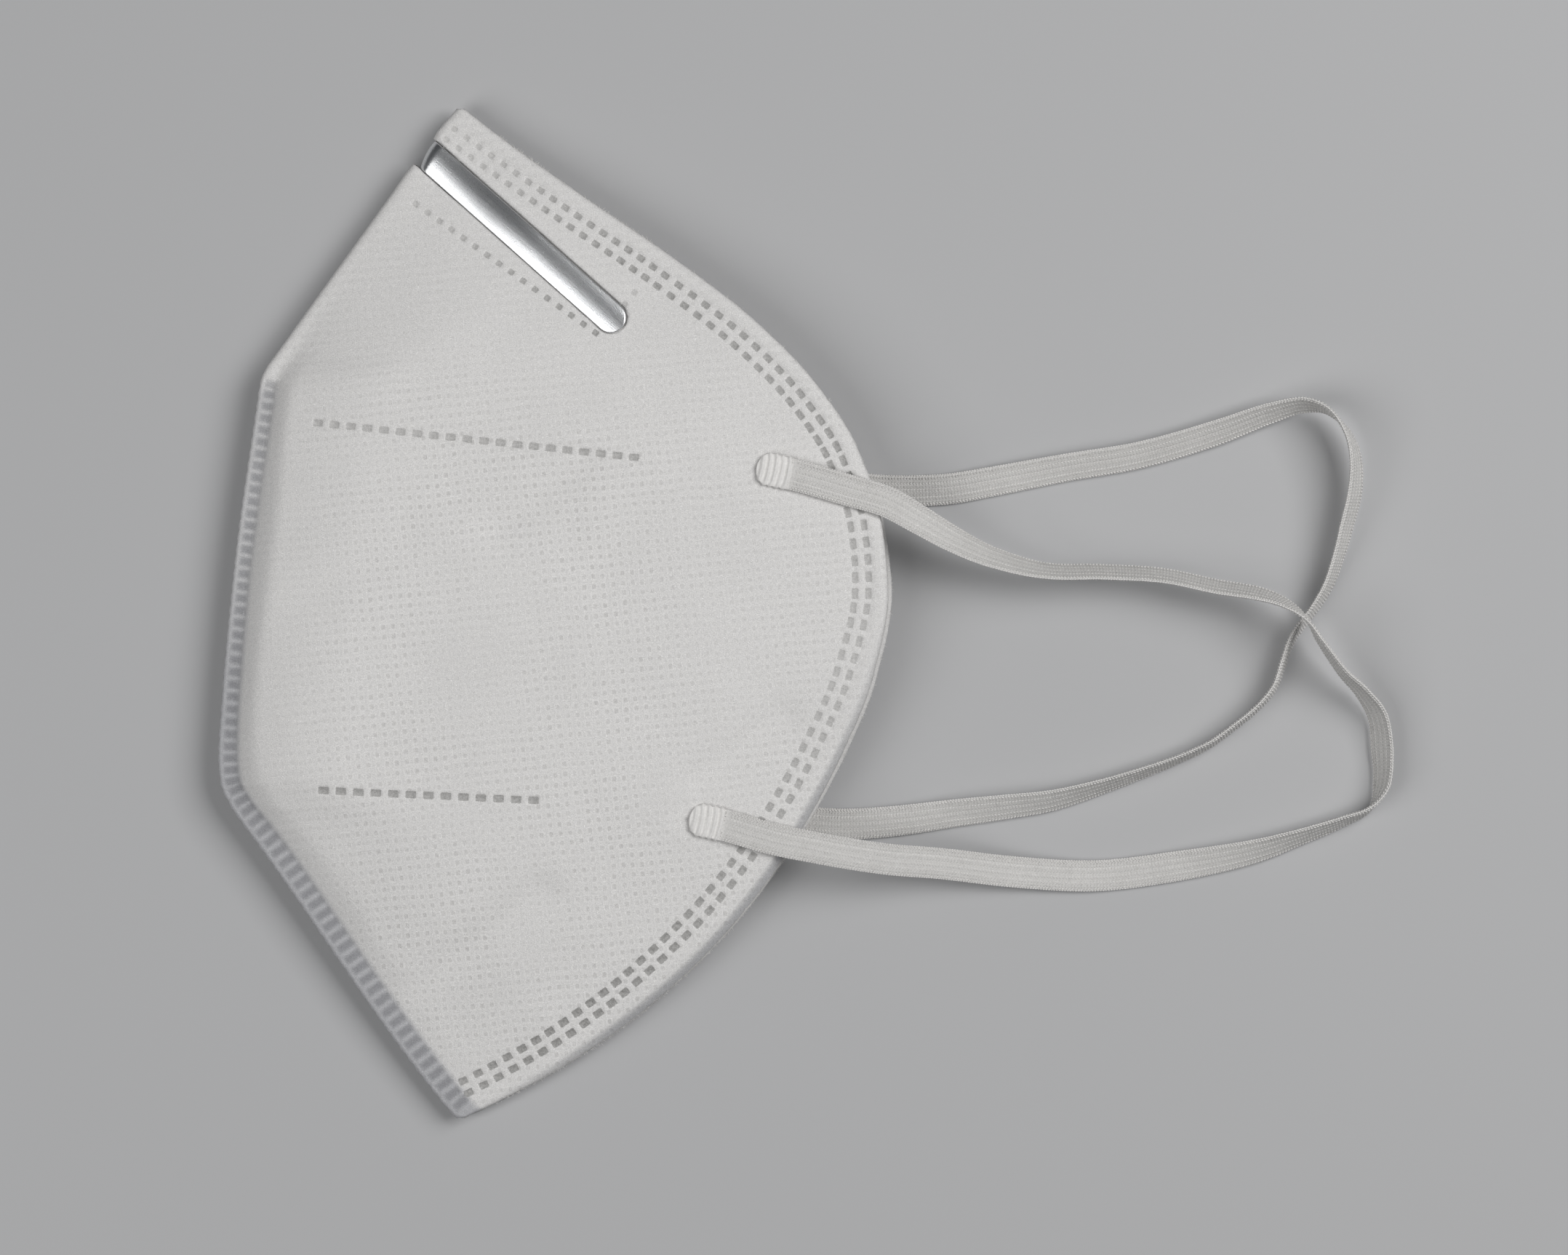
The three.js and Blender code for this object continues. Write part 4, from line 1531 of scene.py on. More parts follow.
    def seam_grey_and_lip_shade(self, half: Half, x: Array, y: Array) -> Array:
        """How grey the web is along the pressed seam and, on the upper half, the painted shade along its
        rolled rim.

        Args:
            half: Which half.
            x: Points across the mask.
            y: Points along it.

        Returns:
            The share at each point.
        """
        inset = self.form.front(x, y) - FRONT_FORM.at("flat", y)
        hem = (1 - rise(inset, *self.hem_span)) * rise(y, *self.hem_top)
        pale, *pale_span = self.hem_pale
        hem = hem * lerp(1.0, pale, rise(y, *pale_span))
        if half is Half.FAR:
            return hem
        # painted shade along the rolled rim of the upper half
        grey, *lip_shade_span = self.lip_painted_shade
        return np.maximum(hem, grey * self.rolled(y) * (1 - rise(self.form.face(x, y), *lip_shade_span)))

    def dot_share(self, x: Array, y: Array) -> Array:
        """How clearly the dots are pressed: less towards the nose, the seam and the right side."""
        less, *side_span = self.clear_side
        low = 1 - less * rise(x, *side_span) * rise(y, *self.clear_low)
        return (1 - rise(y, *self.clear_top)) * rise(x, *self.clear_front) * low

    def rippled(self, plan: Array) -> Array:
        """Slight waves of the upper half, about 0."""
        waves = self.ripple_waves
        return np.array([sum(n * noise.noise((a / w, b / w, seed)) for n, w, seed in waves) for a, b in plan])

    def peeked(self, half: Half, x: Array, y: Array) -> Array:
        """Places across the mask, with the lower half's rim moved to where it shows past the upper one."""
        if half is Half.NEAR:
            return x
        return x + FACE_EDGE.at("peek", y) * (1 - ease(self.form.face(x, y) / self.peek_run))

    def rounding(self, half: Half, y: Array) -> Array:
        """Size of the rim's rounding."""
        return lerp(*self.rim_round, self.rolled(y) if half is Half.NEAR else np.zeros_like(y))

    def roll_share_of(self, rounding: Array) -> Array:
        """How far a rounding is from the smallest to the largest."""
        return (rounding - self.rim_round[0]) / (self.rim_round[1] - self.rim_round[0])

    def rim_drop(self, half: Half, x: Array, y: Array) -> Array:
        """How far the outside is rounded off towards the rim, at most to near the middle of the fold.

        Args:
            half: Which half.
            x: Points across the mask.
            y: Points along it.

        Returns:
            The drop at each point.
        """
        rounding = self.rounding(half, y)
        t = np.clip(1 - self.form.face(x, y) / rounding, 0, 1)
        room = (self.form.near(x, y) - self.form.far(x, y)) / 2
        rolled = self.roll_share * self.roll_share_of(rounding)
        curve = lerp(1 - np.sqrt(np.maximum(1 - t * t, 0)), t**self.roll_bend, rolled)
        return np.minimum(rounding * curve, self.rim_share * room)

    def rolled(self, y: Array) -> Array:
        """How far the upper rim is rolled over: 0 at the nose, 1 between the loop's ends and the chin."""
        return rise(y, *self.roll_nose) * rise(y, *self.roll_chin)

    def under_loop(self, x: Array, y: Array, z: Array) -> Array:
        """Heights pressed down under the ends of the upper ear loop.

        Args:
            x: Points across the mask.
            y: Points along it.
            z: Their heights.

        Returns:
            The new heights.
        """
        for a, b, low in self.loop_rows:
            off = np.hypot(x - a, y - b)
            z = np.minimum(z, lerp(z, low - self.loop_bed, 1 - rise(off, *self.loop_brink)))
        return z

    def inside(self, half: Half, plan: Array, depth: Array | float) -> Array:
        """Points of one half's inner face, at a depth below its outside, shut to the middle near the seam.

        Args:
            half: Which half.
            plan: Points in plan.
            depth: Depth below the outside.

        Returns:
            The points.
        """
        x, y = plan.T
        near, far = self.form.near(x, y), self.form.far(x, y)
        gap = np.maximum((near - far) / 2 - depth, 0)
        open_share = rise(self.form.front(x, y), FRONT_FORM.at("shut", y), self.shut_run)
        gap = np.where(np.asarray(depth) >= self.form.wall - 1e-6, gap * open_share, gap)
        return np.stack([self.peeked(half, x, y), y, (near + far) / 2 + half.value * gap], 1)

    def build(self) -> bpy.types.Object:
        """Makes the web.

        Returns:
            The finished piece.
        """
        plan, faces, rim, front = self.plan()
        shell, starts = Shell(), {}
        for half in Half:
            starts[half] = shell.add(*self.outside(half, plan), self.unfolded(half, plan, 0))
            shell.faces += [[v + starts[half] for v in face][:: half.value] for face in faces]
        self.join_front(shell, starts, np.concatenate([rim[-1:], front, rim[:1]]))
        self.add_inside(shell, starts, rim)
        piece = new_piece("web", np.concatenate(shell.points), shell.faces, self.finish.material())
        self.close(piece.data, np.concatenate(shell.press), np.concatenate(shell.maps))
        return settle(piece, Slot.WEB, "mask_body")

    def unfolded(self, half: Half, plan: Array, sheet: int) -> Array:
        """Places on the flat web, in shares of the map.

        Args:
            half: Which half.
            plan: Points in plan.
            sheet: 0 for the outside, 1 for the inner face.

        Returns:
            Map coordinates, measured along the surface from a line near the rim.
        """
        x, y = plan.T
        steps = np.linspace(0, 1, self.map_steps)
        across = self.map_start + (x - self.map_start)[:, None] * steps
        z = self.form.height(half, across.ravel(), np.repeat(y, len(steps))).reshape(across.shape)
        run = np.hypot(np.diff(across, axis=1), np.diff(z, axis=1)).sum(1) * np.sign(x - self.map_start)
        column = sheet * 2 + (half is Half.FAR)
        places = np.stack([run + self.map_margin + column * self.map_column, y + self.map_margin], 1)
        return places / self.finish.uv_span

    def join_front(self, shell: Shell, starts: dict[Half, int], line: Array) -> None:
        """Joins the halves along the fold and the seam by a rounded brink.

        Args:
            shell: The mesh so far, which grows.
            starts: Number of each half's first point.
            line: Point numbers along the front, from the rim's chin end to its nose end.
        """
        near, far = shell.points[0][line], shell.points[1][line]
        middle = (near + far) / 2
        run = np.gradient(middle[:, :2], axis=0)
        middle[:, :2] += self.fold_bulge * unit(np.stack([-run[:, 1], run[:, 0]], 1))
        middle[[0, -1], :2] = near[[0, -1], :2]
        first = shell.add(middle, shell.press[0][line], shell.maps[0][line])
        for k in range(len(line) - 1):
            a, b = line[k : k + 2] + starts[Half.NEAR]
            c, d = line[k : k + 2] + starts[Half.FAR]
            shell.faces.append([a, b, first + k + 1, first + k])
            shell.faces.append([first + k, first + k + 1, d, c])

    def inner_plan(self) -> tuple[Array, list, Array]:
        """Triangulates an inner face in plan, from the line behind its lip to the one where the web is shut.

        Returns:
            Points, triangles, and which points lie on the shut line.
        """
        edge = self.lip_lines(Half.FAR)[-1][0]
        opened = np.nonzero(self.room(edge) > 0)[0]
        edge = edge[opened[0] : opened[-1] + 1]
        seam = self.pattern.seam
        fars = np.arange(0, seam.length, self.inner_step)
        line = seam.inset(fars, FRONT_FORM.at("shut", seam.inset(fars)[:, 1]))
        line = line[(self.form.face(*line.T) > self.shut_clear[1]) & (np.abs(line[:, 1]) < self.inner_tip_up)]
        bounds = np.concatenate([edge, line[::-1]])
        grid = self.hex_grid(self.inner_step)
        grid = grid[(self.room(grid) > self.shut_clear[0]) & (self.form.face(*grid.T) > self.inner_clear)]
        plan, faces, origins = triangulate(np.concatenate([bounds, grid]), len(bounds))
        firsts = np.array([source[0] if source else len(bounds) for source in origins])
        at_lip = (firsts > 0) & (firsts < len(edge) - 1)
        return plan, faces, (firsts < len(bounds)) & ~at_lip

    def room(self, plan: Array) -> Array:
        """Distance of points in plan from the line where the web is shut."""
        return self.form.front(*plan.T) - FRONT_FORM.at("shut", plan[:, 1])

    def add_inside(self, shell: Shell, starts: dict[Half, int], rim: Array) -> None:
        """Adds the rounded rim and the inner faces, which meet near the seam.

        Args:
            shell: The mesh so far, which grows.
            starts: Number of each half's first point.
            rim: Point numbers along the rim, from nose to chin.
        """
        plan, faces, shut = self.inner_plan()
        middle = (self.form.near(*plan.T) + self.form.far(*plan.T)) / 2
        for half in Half:
            lips = [rim + starts[half]]
            for row, depth in self.lip_lines(half):
                at = self.inside(half, row, depth)
                first = shell.add(at, np.tile(self.plain, (len(at), 1)), self.unfolded(half, row, 1))
                lips.append(np.arange(len(at)) + first)
            for above, below in zip(lips, lips[1:]):
                for k in range(len(rim) - 1):
                    quad = [above[k], below[k], below[k + 1], above[k + 1]]
                    shell.faces.append([int(v) for v in quad][:: half.value])
            at = self.inside(half, plan, self.form.wall)
            gap = np.maximum(half.value * (at[:, 2] - middle), self.least_gap)
            at[:, 2] = np.where(shut, middle, middle + half.value * gap)
            start = shell.add(at, np.tile(self.plain, (len(at), 1)), self.unfolded(half, plan, 1))
            opened = [face for face in faces if not shut[face].all()]
            shell.faces += [[v + start for v in face][:: -half.value] for face in opened]

    def lip_lines(self, half: Half) -> list[tuple[Array, Array]]:
        """Lines of the cut face, with its layers standing out, and of the inner face behind it.

        Args:
            half: Which half.

        Returns:
            Points in plan and depths below the outside, row by row inwards.
        """
        rim, fars = self.pattern.rim, self.rim_fars
        rounding = self.rounding(half, rim.inset(fars)[:, 1])
        squeeze = 1 - self.roll_squeeze * self.roll_share_of(rounding)
        most, run, seed = self.layer_stray
        lines = []
        for layer, (depth_in, depth) in enumerate(self.cut_rows):
            stray = np.array([noise.noise((far / run, layer * seed, half.value)) for far in fars])
            row = rim.inset(fars, depth_in + most * stray * (depth_in < 0))
            lines.append((row, rounding + depth * squeeze))
        for depth_in, depth in self.lip_rows:
            row = rim.inset(fars, depth_in)
            lines.append((row, depth + self.rim_drop(half, *row.T)))
        return lines

    def close(self, mesh: bpy.types.Mesh, press: Array, maps: Array) -> None:
        """Merges the parts of the web into one closed mesh and gives it its map and weld shares.

        Args:
            mesh: The web's mesh.
            press: What the finish reads at each point.
            maps: Map coordinates of each point.
        """
        for label, column in zip(self.fields, press.T):
            carry(mesh, label, column)
        lay_map(mesh, self.finish.uv_map, maps)
        work = bmesh.new()
        work.from_mesh(mesh)
        bmesh.ops.remove_doubles(work, verts=work.verts, dist=self.merge * MM)
        bmesh.ops.dissolve_degenerate(work, edges=work.edges, dist=self.least_edge * MM)
        self.drop_membranes(work)
        open_edges = [edge for edge in work.edges if edge.is_boundary]
        LOG.info("web: %d open edges before the tips are closed", len(open_edges))
        bmesh.ops.holes_fill(work, edges=open_edges, sides=0)
        bmesh.ops.triangulate(work, faces=[face for face in work.faces if len(face.verts) > 4])
        self.drop_membranes(work)
        bmesh.ops.recalc_face_normals(work, faces=work.faces)
        for face in work.faces:
            face.smooth = True
        open_count = sum(not edge.is_manifold for edge in work.edges)
        LOG.info("web: %d edges not shared by two faces", open_count)
        work.to_mesh(mesh)
        work.free()

    @staticmethod
    def drop_membranes(work: bmesh.types.BMesh) -> None:
        """Removes faces that are left inside the wall where two inner faces have merged.

        Args:
            work: The mesh.
        """
        loose = True
        while loose:
            shared = {face: [len(edge.link_faces) for edge in face.edges] for face in work.faces}
            loose = [face for face, counts in shared.items() if 2 not in counts and max(counts) > 2]
            bmesh.ops.delete(work, geom=loose, context="FACES")


@dataclass
class RimFibres:
    """Loose fibre ends that stand out of the cut rims, in zones of the rim with a share of them each."""

    web: FoldedWeb
    material: bpy.types.Material
    count: int = 800
    zones: tuple[Sizes, ...] = ((7, 17, 0.1), (24, 37, 0.12), (98, 212, 0.5), (1, 215, 0.28))
    root: float = 0.06
    deepest: float = 0.8
    lowest: float = 0.3
    swing: Span = (0.7, 0.4)
    lift: float = 0.45
    reach: Span = (0.2, 0.8)
    thick: float = 0.045
    loose_turn: float = 0.3
    spread: float = 0.4
    bend: tuple[Sizes, ...] = ((-0.3, 0.0, 1.0), (0.35, 0.6, 0.9), (0.75, 2.6, 0.7), (1.0, 5.5, 0.3))
    sides: int = 3
    seed: int = 11

    def build(self) -> bpy.types.Object:
        """Makes the fibres of both rims.

        Returns:
            The finished piece.
        """
        random = np.random.default_rng(self.seed)
        places = Places.joined([self.rooted(half, random) for half in Half])
        scatter = Scatter("rim_fibres", self.seed, self.loose_turn, self.spread)
        return settle(scatter.grow(places, self.template(), self.material), Slot.WEB)

    def rooted(self, half: Half, random: np.random.Generator) -> Places:
        """Places of one rim's fibres.

        Args:
            half: Which half.
            random: Source of random numbers, drawn in a fixed order.

        Returns:
            The places.
        """
        rim, count = self.web.pattern.rim, self.count
        starts, ends, shares = np.array(self.zones).T
        chosen = random.choice(len(shares), count, p=shares)
        fars = random.uniform(starts[chosen], ends[chosen])
        base, _ = self.web.outside(half, rim.inset(fars, self.root))
        base[:, 2] -= half.value * random.uniform(0, self.deepest, count)
        base[:, 2] = np.maximum(base[:, 2], self.lowest)
        turn = random.normal(*self.swing, count) * random.choice((-1, 1), count)
        c, s = np.cos(turn), np.sin(turn)
        x, y = rim.inwards(fars).T
        along = np.stack([-x * c + y * s, -y * c - x * s, random.normal(0, self.lift, count)], 1)
        long, thick = random.uniform(*self.reach, count), np.full(count, self.thick)
        up = np.tile([0.0, 0.0, 1.0], (count, 1))
        return Places.framed(base, along, up, np.stack([long, thick, thick], 1))

    def template(self) -> Shape:
        """A thin bent fibre of unit length.

        Returns:
            Its points and faces.
        """
        turns = [2 * math.pi * k / self.sides for k in range(self.sides)]
        points = [(x, y + size * math.cos(t), size * math.sin(t)) for x, y, size in self.bend for t in turns]
        return points, tube_faces(len(self.bend), self.sides)


@dataclass
class NoseStrip:
    """Bent aluminium strip with round ends, half of it on each side of the nose fold."""

    finish: StripFinish
    form: WebForm
    crown: float = 0.31
    tilt: Span = (-0.075, -0.01)
    slant: float = 0.17
    slant_run: float = 7.0
    edge_round: float = 0.16
    edge_bend: float = 0.3
    under: tuple[int, ...] = (12, 13)
    top_steps: int = 9
    side_steps: int = 46
    round_start: float = 0.06
    round_steps: int = 8
    bend_steps: int = 18
    map_margin: float = 4.0
    map_under: float = 6.0

    def stations(self) -> tuple[Array, Array]:
        """Middle line of the strip with its half width, over the upper half, round the fold and back.

        Returns:
            Points, and half the width at each.
        """
        strip = self.form.strip
        half = strip.wide / 2
        turns = np.linspace(self.round_start, 1, self.round_steps) * math.pi / 2
        straight = np.linspace(strip.reach - half, 0, self.side_steps)[1:]
        wides = np.concatenate([half * np.sin(turns), np.full(len(straight), half)])
        plan = strip.plan(np.concatenate([strip.reach - half * (1 - np.cos(turns)), straight]))
        bare = WebForm(strip=StripRun(notch=0.0))
        top = np.column_stack([plan, bare.near(*plan.T) + strip.seat])
        bottom = np.column_stack([plan, bare.far(*plan.T) - strip.seat])
        bend = (top[-1, 2] - bottom[-1, 2]) / 2
        angles = np.linspace(0, math.pi, self.bend_steps + 1)[1:-1]
        heights = bottom[-1, 2] + bend * (1 + np.cos(angles))
        turn = np.column_stack([strip.plan(-bend * np.sin(angles)), heights])
        line = np.concatenate([top, turn, bottom[::-1]])
        return line, np.concatenate([wides, np.full(len(turn), half), wides[::-1]])

    def section(self, half: float, tilt: float) -> list[Span]:
        """Outline of the strip across its width, crowned outside, with rounded brinks.

        Args:
            half: Half the width there.
            tilt: Rise of the outside for each millimetre to the left.

        Returns:
            Points as side and height.
        """
        low, r = -self.form.strip.thick / 2, min(self.edge_round, half / 2)
        sides = np.linspace(-half + r, half - r, self.top_steps)[::-1]
        full = self.form.strip.wide / 2
        top = [(s, -low - self.crown * (s / full) ** 2 + s * tilt) for s in sides]
        right, left, cut = top[0][1], top[-1][1], r * self.edge_bend
        brink_left = [(-half + cut, left - cut), (-half, left - r), (-half, low + r)]
        brink_right = [(half, low + r), (half, right - r), (half - cut, right - cut)]
        return [*top, *brink_left, (-half + r, low), (half - r, low), *brink_right]

    def build(self) -> bpy.types.Object:
        """Makes the strip.

        Returns:
            The finished piece.
        """
        strip = self.form.strip
        line, halves = self.stations()
        along, across = np.append(strip.along, 0), np.append(strip.across, 0)
        outs = unit(np.cross(np.gradient(line, axis=0), across))
        back = strip.reach - (line - np.append(strip.end, 0)) @ along
        slants = self.slant * (1 - ease(back / self.slant_run))
        tilts = lerp(*self.tilt, np.clip(back / strip.reach, 0, 1))
        points, maps = [], []
        for at, half, out, run, slant, tilt in zip(line, halves, outs, run_along(line), slants, tilts):
            for k, (side, height) in enumerate(self.section(half, tilt)):
                points.append(at + across * side + out * height - along * slant * side)
                maps.append((run, side + self.map_margin + (k in self.under) * self.map_under))
        faces = tube_faces(len(line), len(points) // len(line))
        piece = new_piece("strip", np.array(points), faces, self.finish.material())
        lay_map(piece.data, self.finish.uv_map, np.array(maps) / self.finish.uv_span)
        face_outward(piece.data)
        return settle(piece, Slot.ALUMINIUM, "nose_strip")


@dataclass
class EarLoop:
    """Flat knitted elastic band: a core, rows of stitches on both faces and pressed, ridged ends."""

    name: str
    node: str
    route: tuple[tuple[float, float, float, float], ...]
    core_material: bpy.types.Material
    yarn_material: bpy.types.Material
    seed: int
    wide: float = 5.3
    thick: float = 0.8
    per_span: int = 24
    path_steps: int = 200
    core_wide: float = 4.9
    core_thick: float = 0.5
    core_sides: int = 16
    core_square: Span = (0.45, 0.7)
    ring_step: float = 0.5
    fine_step: float = 0.1
    fine_past: float = 0.6
    pressed: float = 5.5
    press_lead: float = 0.4
    press_run: float = 1.0
    press_wide: float = 0.15
    press_thick: float = 0.03
    ridge: float = 1.04
    ridge_start: float = 0.55
    ridge_wide: float = 0.09
    ridge_deep: float = 0.19
    bow: float = 0.45
    tip_round: Span = (1.9, 0.97)
    tip_thin: Span = (0.5, 0.12)
    knot: float = 0.15
    knot_waves: tuple[Span, ...] = ((1.0, 1.4), (0.6, 3.1))
    course: float = 0.5
    wales: int = 7
    inner_wales: int = 2
    outer_gap: float = 0.07
    brim: float = 0.25
    knit_lead: float = 0.7
    least_leg: float = 0.35
    leg_lead: float = 0.9
    leg_run: float = 2.4
    leg: Sizes = (0.33, 0.135, 0.125)
    leg_sunk: float = 0.03
    lean: float = math.radians(36)
    ridge_roll: float = math.radians(20)
    rib: float = 1.04
    rib_deep: float = 0.045
    bead: Sizes = (0.23, 0.2, 0.12)
    bead_course: float = 0.42
    bead_sunk: float = 0.05
    loose_turn: float = 0.12
    spread: float = 0.15
    bed_run: float = 22.0
    bed_step: float = 0.8

    def smooth(self) -> tuple[Array, Array]:
        """The route's smooth curve.

        Returns:
            Points along the band's middle, and its turn at each.
        """
        rows = np.array(self.route)
        turns = np.radians(rows[:, 3])
        half = self.wide / 2 * np.abs(np.sin(turns)) + self.thick / 2 * np.abs(np.cos(turns))
        knots = np.column_stack([rows[:, 0], rows[:, 1], rows[:, 2] + half])
        ends = np.vstack([2 * knots[0] - knots[1], knots, 2 * knots[-1] - knots[-2]])
        gaps = np.sqrt(np.linalg.norm(np.diff(ends, axis=0), axis=1))
        t = np.linspace(0, 1, self.per_span, endpoint=False)[:, None]
        points, rolls = [], []
        for k in range(len(knots) - 1):
            a, b, c, d = ends[k : k + 4]
            g0, g1, g2 = gaps[k : k + 3]
            m1 = ((b - a) / g0 - (c - a) / (g0 + g1) + (c - b) / g1) * g1
            m2 = ((c - b) / g1 - (d - b) / (g1 + g2) + (d - c) / g2) * g1
            points.append(b + m1 * t + (3 * (c - b) - 2 * m1 - m2) * t**2 + (2 * (b - c) + m1 + m2) * t**3)
            rolls.append(lerp(turns[k], turns[k + 1], t[:, 0]))
        return np.vstack([*points, knots[-1:]]), np.append(np.concatenate(rolls), turns[-1])

    @cached_property
    def line(self) -> tuple[Array, Array, Array]:
        """Distance along the band, its middle points and its turns."""
        points, rolls = self.smooth()
        return run_along(points), points, rolls

    @property
    def length(self) -> float:
        """Whole length of the band."""
        return float(self.line[0][-1])

    def frames(self, far: Array) -> tuple[Array, Array, Array, Array]:
        """The band at distances along it.

        Args:
            far: Distances in millimetres.

        Returns:
            Middle points, and directions along, across and out of the band.
        """
        known, points, rolls = self.line
        along = unit(read_along(far, known, np.gradient(points, known, axis=0)))
        level = unit(np.column_stack([-along[:, 1], along[:, 0], np.zeros(len(far))]))
        roll = np.interp(far, known, rolls)[:, None]
        across = level * np.cos(roll) + np.cross(along, level) * np.sin(roll)
        return read_along(far, known, points), along, across, np.cross(along, across)

    def under_ends(self) -> Array:
        """Points along both ends of the band, on its underside."""
        runs = np.arange(0, self.bed_run, self.bed_step)
        return self.frames(np.concatenate([runs, self.length - runs]))[0] - (0, 0, self.thick / 2)

    def end_room(self, far: Array) -> Array:
        """Distance from the nearer end of the band."""
        return np.minimum(far, self.length - far)

    def ring_fars(self) -> Array:
        """Distances of the core's rings, close together over the ridged ends."""
        fine = np.arange(0, self.pressed + self.fine_past, self.fine_step)
        middle = np.arange(fine[-1], self.length - fine[-1], self.ring_step)[1:]
        return np.concatenate([fine, middle, self.length - fine[::-1]])

    def build_core(self) -> bpy.types.Object:
        """Makes the band's core.

        Returns:
            The piece that stands for the band's solid.
        """
        fars = self.ring_fars()
        at, _, across, out = self.frames(fars)
        end = self.end_room(fars)
        pressed = 1 - rise(end, self.pressed - self.press_lead, self.press_run)
        turns = np.linspace(0, 2 * np.pi, self.core_sides, endpoint=False)
        axes = zip((np.cos(turns), np.sin(turns)), self.core_square)
        side, height = (np.sign(axis) * np.abs(axis) ** power for axis, power in axes)
        wave = np.cos(2 * np.pi * (end[:, None] - self.bow * (1 - side**2) - self.ridge_start) / self.ridge)
        tip = np.clip(1 - end / self.tip_round[0], 0, self.tip_round[1])
        wide = (self.core_wide / 2 + self.press_wide * pressed) * np.sqrt(1 - tip**2)
        wide = wide + self.ridge_wide * pressed * wave[:, 0]
        thin = self.tip_thin[1] * np.clip(1 - end / self.tip_thin[0], 0, 1)
        thick = self.core_thick / 2 + pressed * self.press_thick - thin
        thick = thick[:, None] + self.ridge_deep * pressed[:, None] * wave
        rings = at[:, None] + across[:, None] * (side * wide[:, None])[..., None]
        rings += out[:, None] * (height * thick)[..., None]
        for ring in np.nonzero(pressed > 0)[0]:
            knots = np.array([self.knotted(Vector(p)) for p in rings[ring]])
            rings[ring] += out[ring] * (self.knot * pressed[ring] * knots * (height > 0))[:, None]
        faces = tube_faces(len(fars), len(turns))
        piece = new_piece(self.name + "_band", rings.reshape(-1, 3), faces, self.core_material)
        carry(piece.data, "end", np.repeat(pressed, len(turns)))
        face_outward(piece.data)
        return settle(piece, Slot.ELASTIC, self.node)

    def knotted(self, at: Vector) -> float:
        """Height of the fused yarns at a point of a pressed end, about 0."""
        return sum(size * noise.noise(at * scale) for size, scale in self.knot_waves)

    def build_knit(self) -> bpy.types.Object:
        """Makes the stitches of both faces and the bumps along both edges.

        Returns:
            The finished piece.
        """
        start = self.pressed - self.knit_lead
        fars = np.arange(start, self.length - start, self.course)
        at, along, across, out = self.frames(fars)
        pitch = (self.core_wide - 2 * self.brim) / self.wales
        full = rise(self.end_room(fars), self.pressed - self.leg_lead, self.leg_run)
        legs = lerp(self.least_leg, 1.0, full)[:, None] * self.leg
        ahead, aside = along * math.cos(self.lean), across * math.sin(self.lean)
        upright, tipped = out * math.cos(self.ridge_roll), across * math.sin(self.ridge_roll)
        groups = []
        for face, wale, leg in itertools.product((1, -1), range(self.wales), (1, -1)):
            place = wale - (self.wales - 1) / 2
            outer = np.sign(place) * (abs(place) > self.inner_wales)
            side = place * pitch + leg * pitch / 4 + self.outer_gap * outer
            # groove share: sinks the stitches and sets the shade painted on them
            groove = 0.5 - 0.5 * math.cos(2 * math.pi * side / self.rib)
            height = self.core_thick / 2 - self.leg_sunk - self.rib_deep * groove
            middle = at + across * side + out * (face * height)
            rolled = upright * face + tipped * leg
            groups.append(Places.framed(middle, ahead + aside * leg, rolled, legs, groove))
        at, along, across, _ = self.frames(np.arange(fars[0], fars[-1], self.bead_course))
        sizes = np.tile(self.bead, (len(at), 1))
        for edge in (1, -1):
            middle = at + across * edge * (self.core_wide / 2 - self.bead_sunk)
            groups.append(Places.framed(middle, along, across * edge, sizes))
        scatter = Scatter(self.name + "_knit", self.seed, self.loose_turn, self.spread)
        return settle(scatter.grow(Places.joined(groups), self.template(), self.yarn_material), Slot.ELASTIC)

    @staticmethod
    def template() -> Shape:
        """One leg of a stitch: a small ridged dome of unit half size.

        Returns:
            Its points and faces.
        """
        foot = ((1, 0), (0.5, 1), (-0.5, 1), (-1, 0), (-0.5, -1), (0.5, -1))
        points = [*((x, y, -0.5) for x, y in foot), (0.55, 0, 1), (-0.55, 0, 1)]
        faces = [[0, 1, 6], [1, 2, 7, 6], [2, 3, 7], [3, 4, 7], [4, 5, 6, 7], [5, 0, 6], [5, 4, 3, 2, 1, 0]]
        return points, faces

    def build(self) -> None:
        core, knit = self.build_core(), self.build_knit()
        path = self.frames(np.linspace(0, self.length, self.path_steps))[0] * MM
        self.length * MM
        self.wide * MM
        LOG.info("%s: %.1f mm of elastic", self.name, self.length)


@dataclass(frozen=True)
class Lamp:
    """A soft lamp aimed at the mask."""

    name: str
    place: Sizes
    size: Span
    watts: float


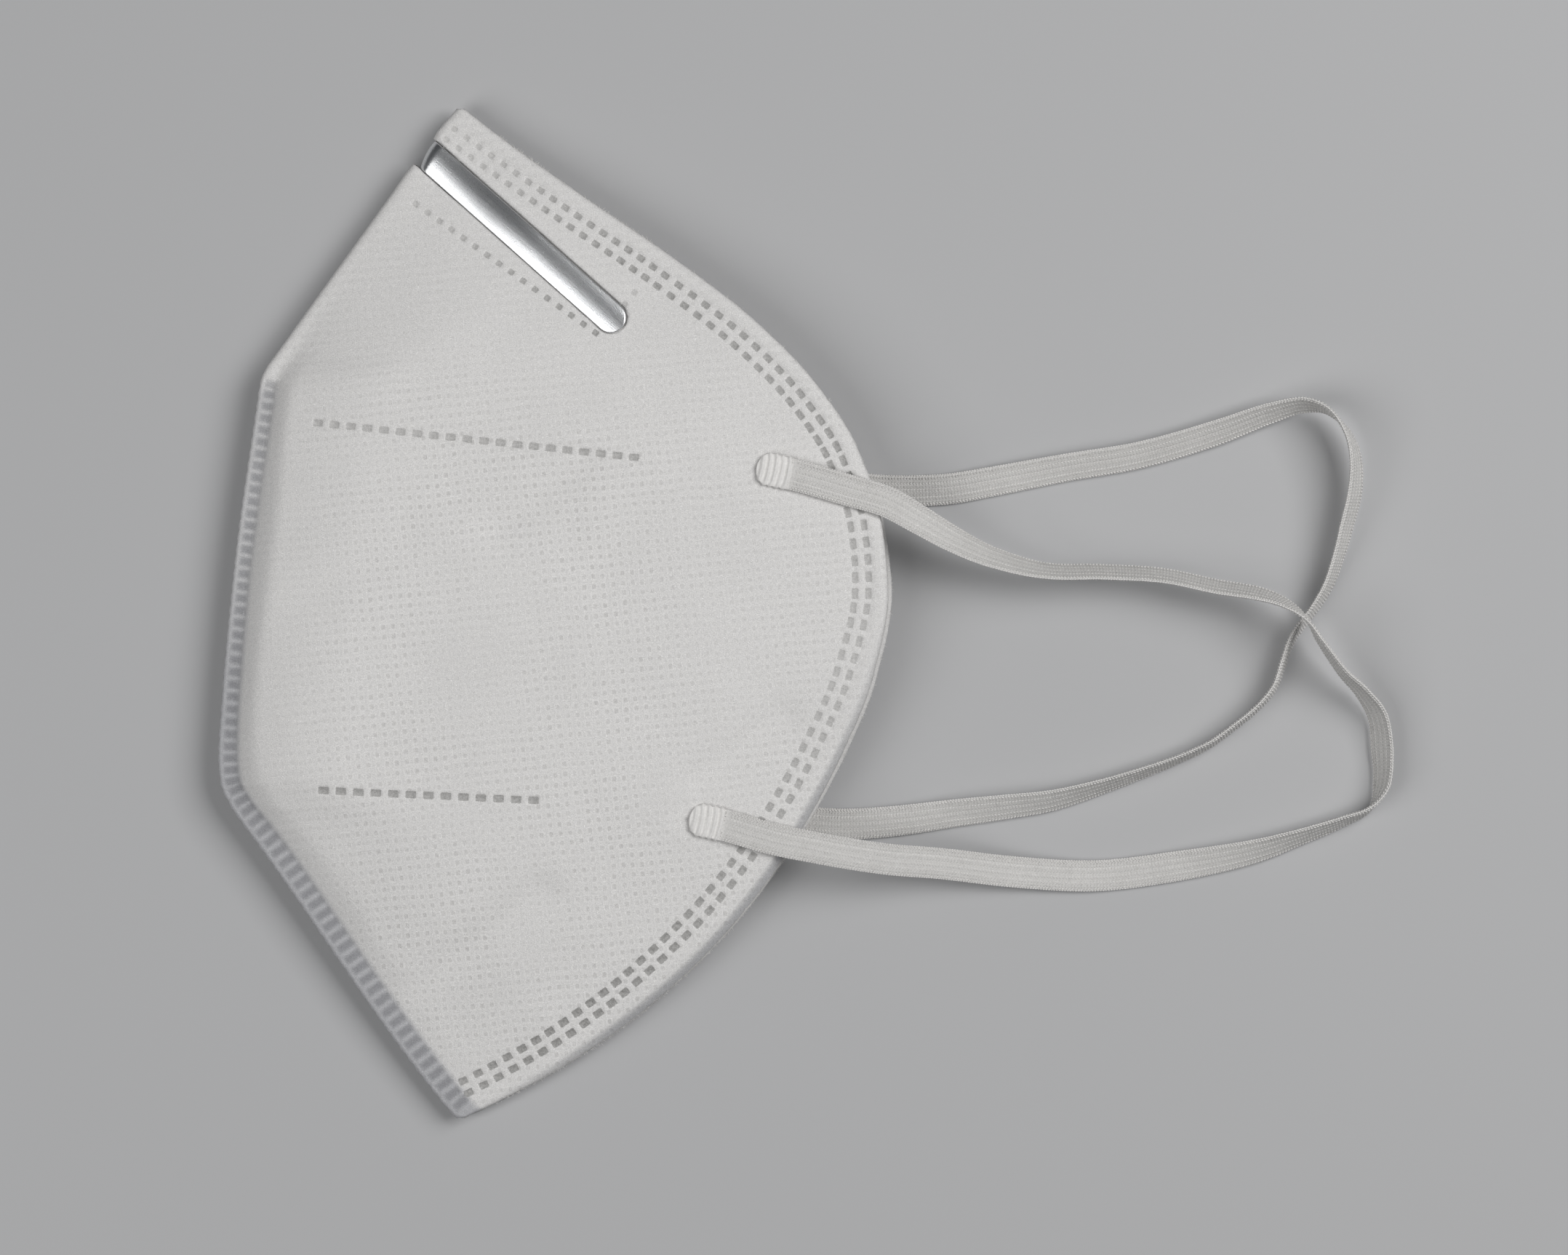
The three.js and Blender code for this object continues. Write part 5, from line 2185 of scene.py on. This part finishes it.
@dataclass
class Studio:
    """Pale floor, soft lamps and the camera straight above."""

    eye: Sizes = (0.03628, -0.00219, 0.9)
    lens: float = 129.7
    sensor: float = 36.0
    sight: Span = (0.05, 20.0)
    floor_half: float = 3.0
    floor_drop: float = 0.05
    sky: Colour = (0.9, 0.95, 1.0, 1)
    sky_strength: float = 0.055
    lamps: tuple[Lamp, ...] = (
        Lamp("left_lamp", (-0.5, -0.22, 0.72), (0.5, 0.7), 3.4),
        Lamp("right_lamp", (0.6, 0.24, 0.74), (0.6, 0.6), 6.35),
    )

    def camera(self) -> None:
        """Places the camera as the photograph was taken."""
        data = bpy.data.cameras.new("camera")
        data.lens, data.sensor_width = self.lens, self.sensor
        data.clip_start, data.clip_end = self.sight
        eye = bpy.data.objects.new("camera", data)
        eye.location = self.eye
        bpy.context.scene.collection.objects.link(eye)
        bpy.context.scene.camera = eye

    def light(self) -> None:
        """Sets the lamps and a weak sky."""
        for lamp in self.lamps:
            data = bpy.data.lights.new(lamp.name, "AREA")
            data.shape, data.size, data.size_y = "RECTANGLE", *lamp.size
            data.energy = lamp.watts
            head = bpy.data.objects.new(lamp.name, data)
            head.location = lamp.place
            aim = Vector((self.eye[0], self.eye[1], 0)) - head.location
            head.rotation_euler = aim.to_track_quat("-Z", "Y").to_euler()
            bpy.context.scene.collection.objects.link(head)
        world = bpy.data.worlds.new("sky")
        world.use_nodes = True
        backdrop = world.node_tree.nodes["Background"]
        backdrop.inputs["Color"].default_value = self.sky
        backdrop.inputs["Strength"].default_value = self.sky_strength
        bpy.context.scene.world = world
        bpy.context.scene.view_settings.view_transform = "Standard"

    def floor(self) -> None:
        """Lays the floor just under the mask."""
        r, z = self.floor_half / MM, -self.floor_drop
        corners = np.array([(-r, -r, z), (r, -r, z), (r, r, z), (-r, r, z)])
        new_piece("floor", corners, [[0, 1, 2, 3]], FloorFinish().material())

    def build(self) -> None:
        """Makes the whole studio."""
        self.camera()
        self.light()
        self.floor()


def main() -> None:
    """Builds the studio and the mask, piece by piece."""
    logging.basicConfig(level=logging.INFO, format="%(name)s: %(message)s")
    Studio().build()
    elastic = ElasticFinish()
    core, yarn = elastic.material("elastic_core", elastic.core), elastic.material("elastic_yarn", 0.0)
    left = EarLoop("left_loop", "left_ear_loop", LEFT_ROUTE, core, yarn, seed=3)
    right = EarLoop("right_loop", "right_ear_loop", RIGHT_ROUTE, core, yarn, seed=4)
    for loop in (left, right):
        loop.build()
    form = WebForm()
    web = FoldedWeb(WebFinish(), form, WeldPattern(), left.under_ends())
    body = web.build()
    fibres = RimFibres(web, yarn).build()
    NoseStrip(StripFinish(), form).build()


if __name__ == "__main__":
    main()
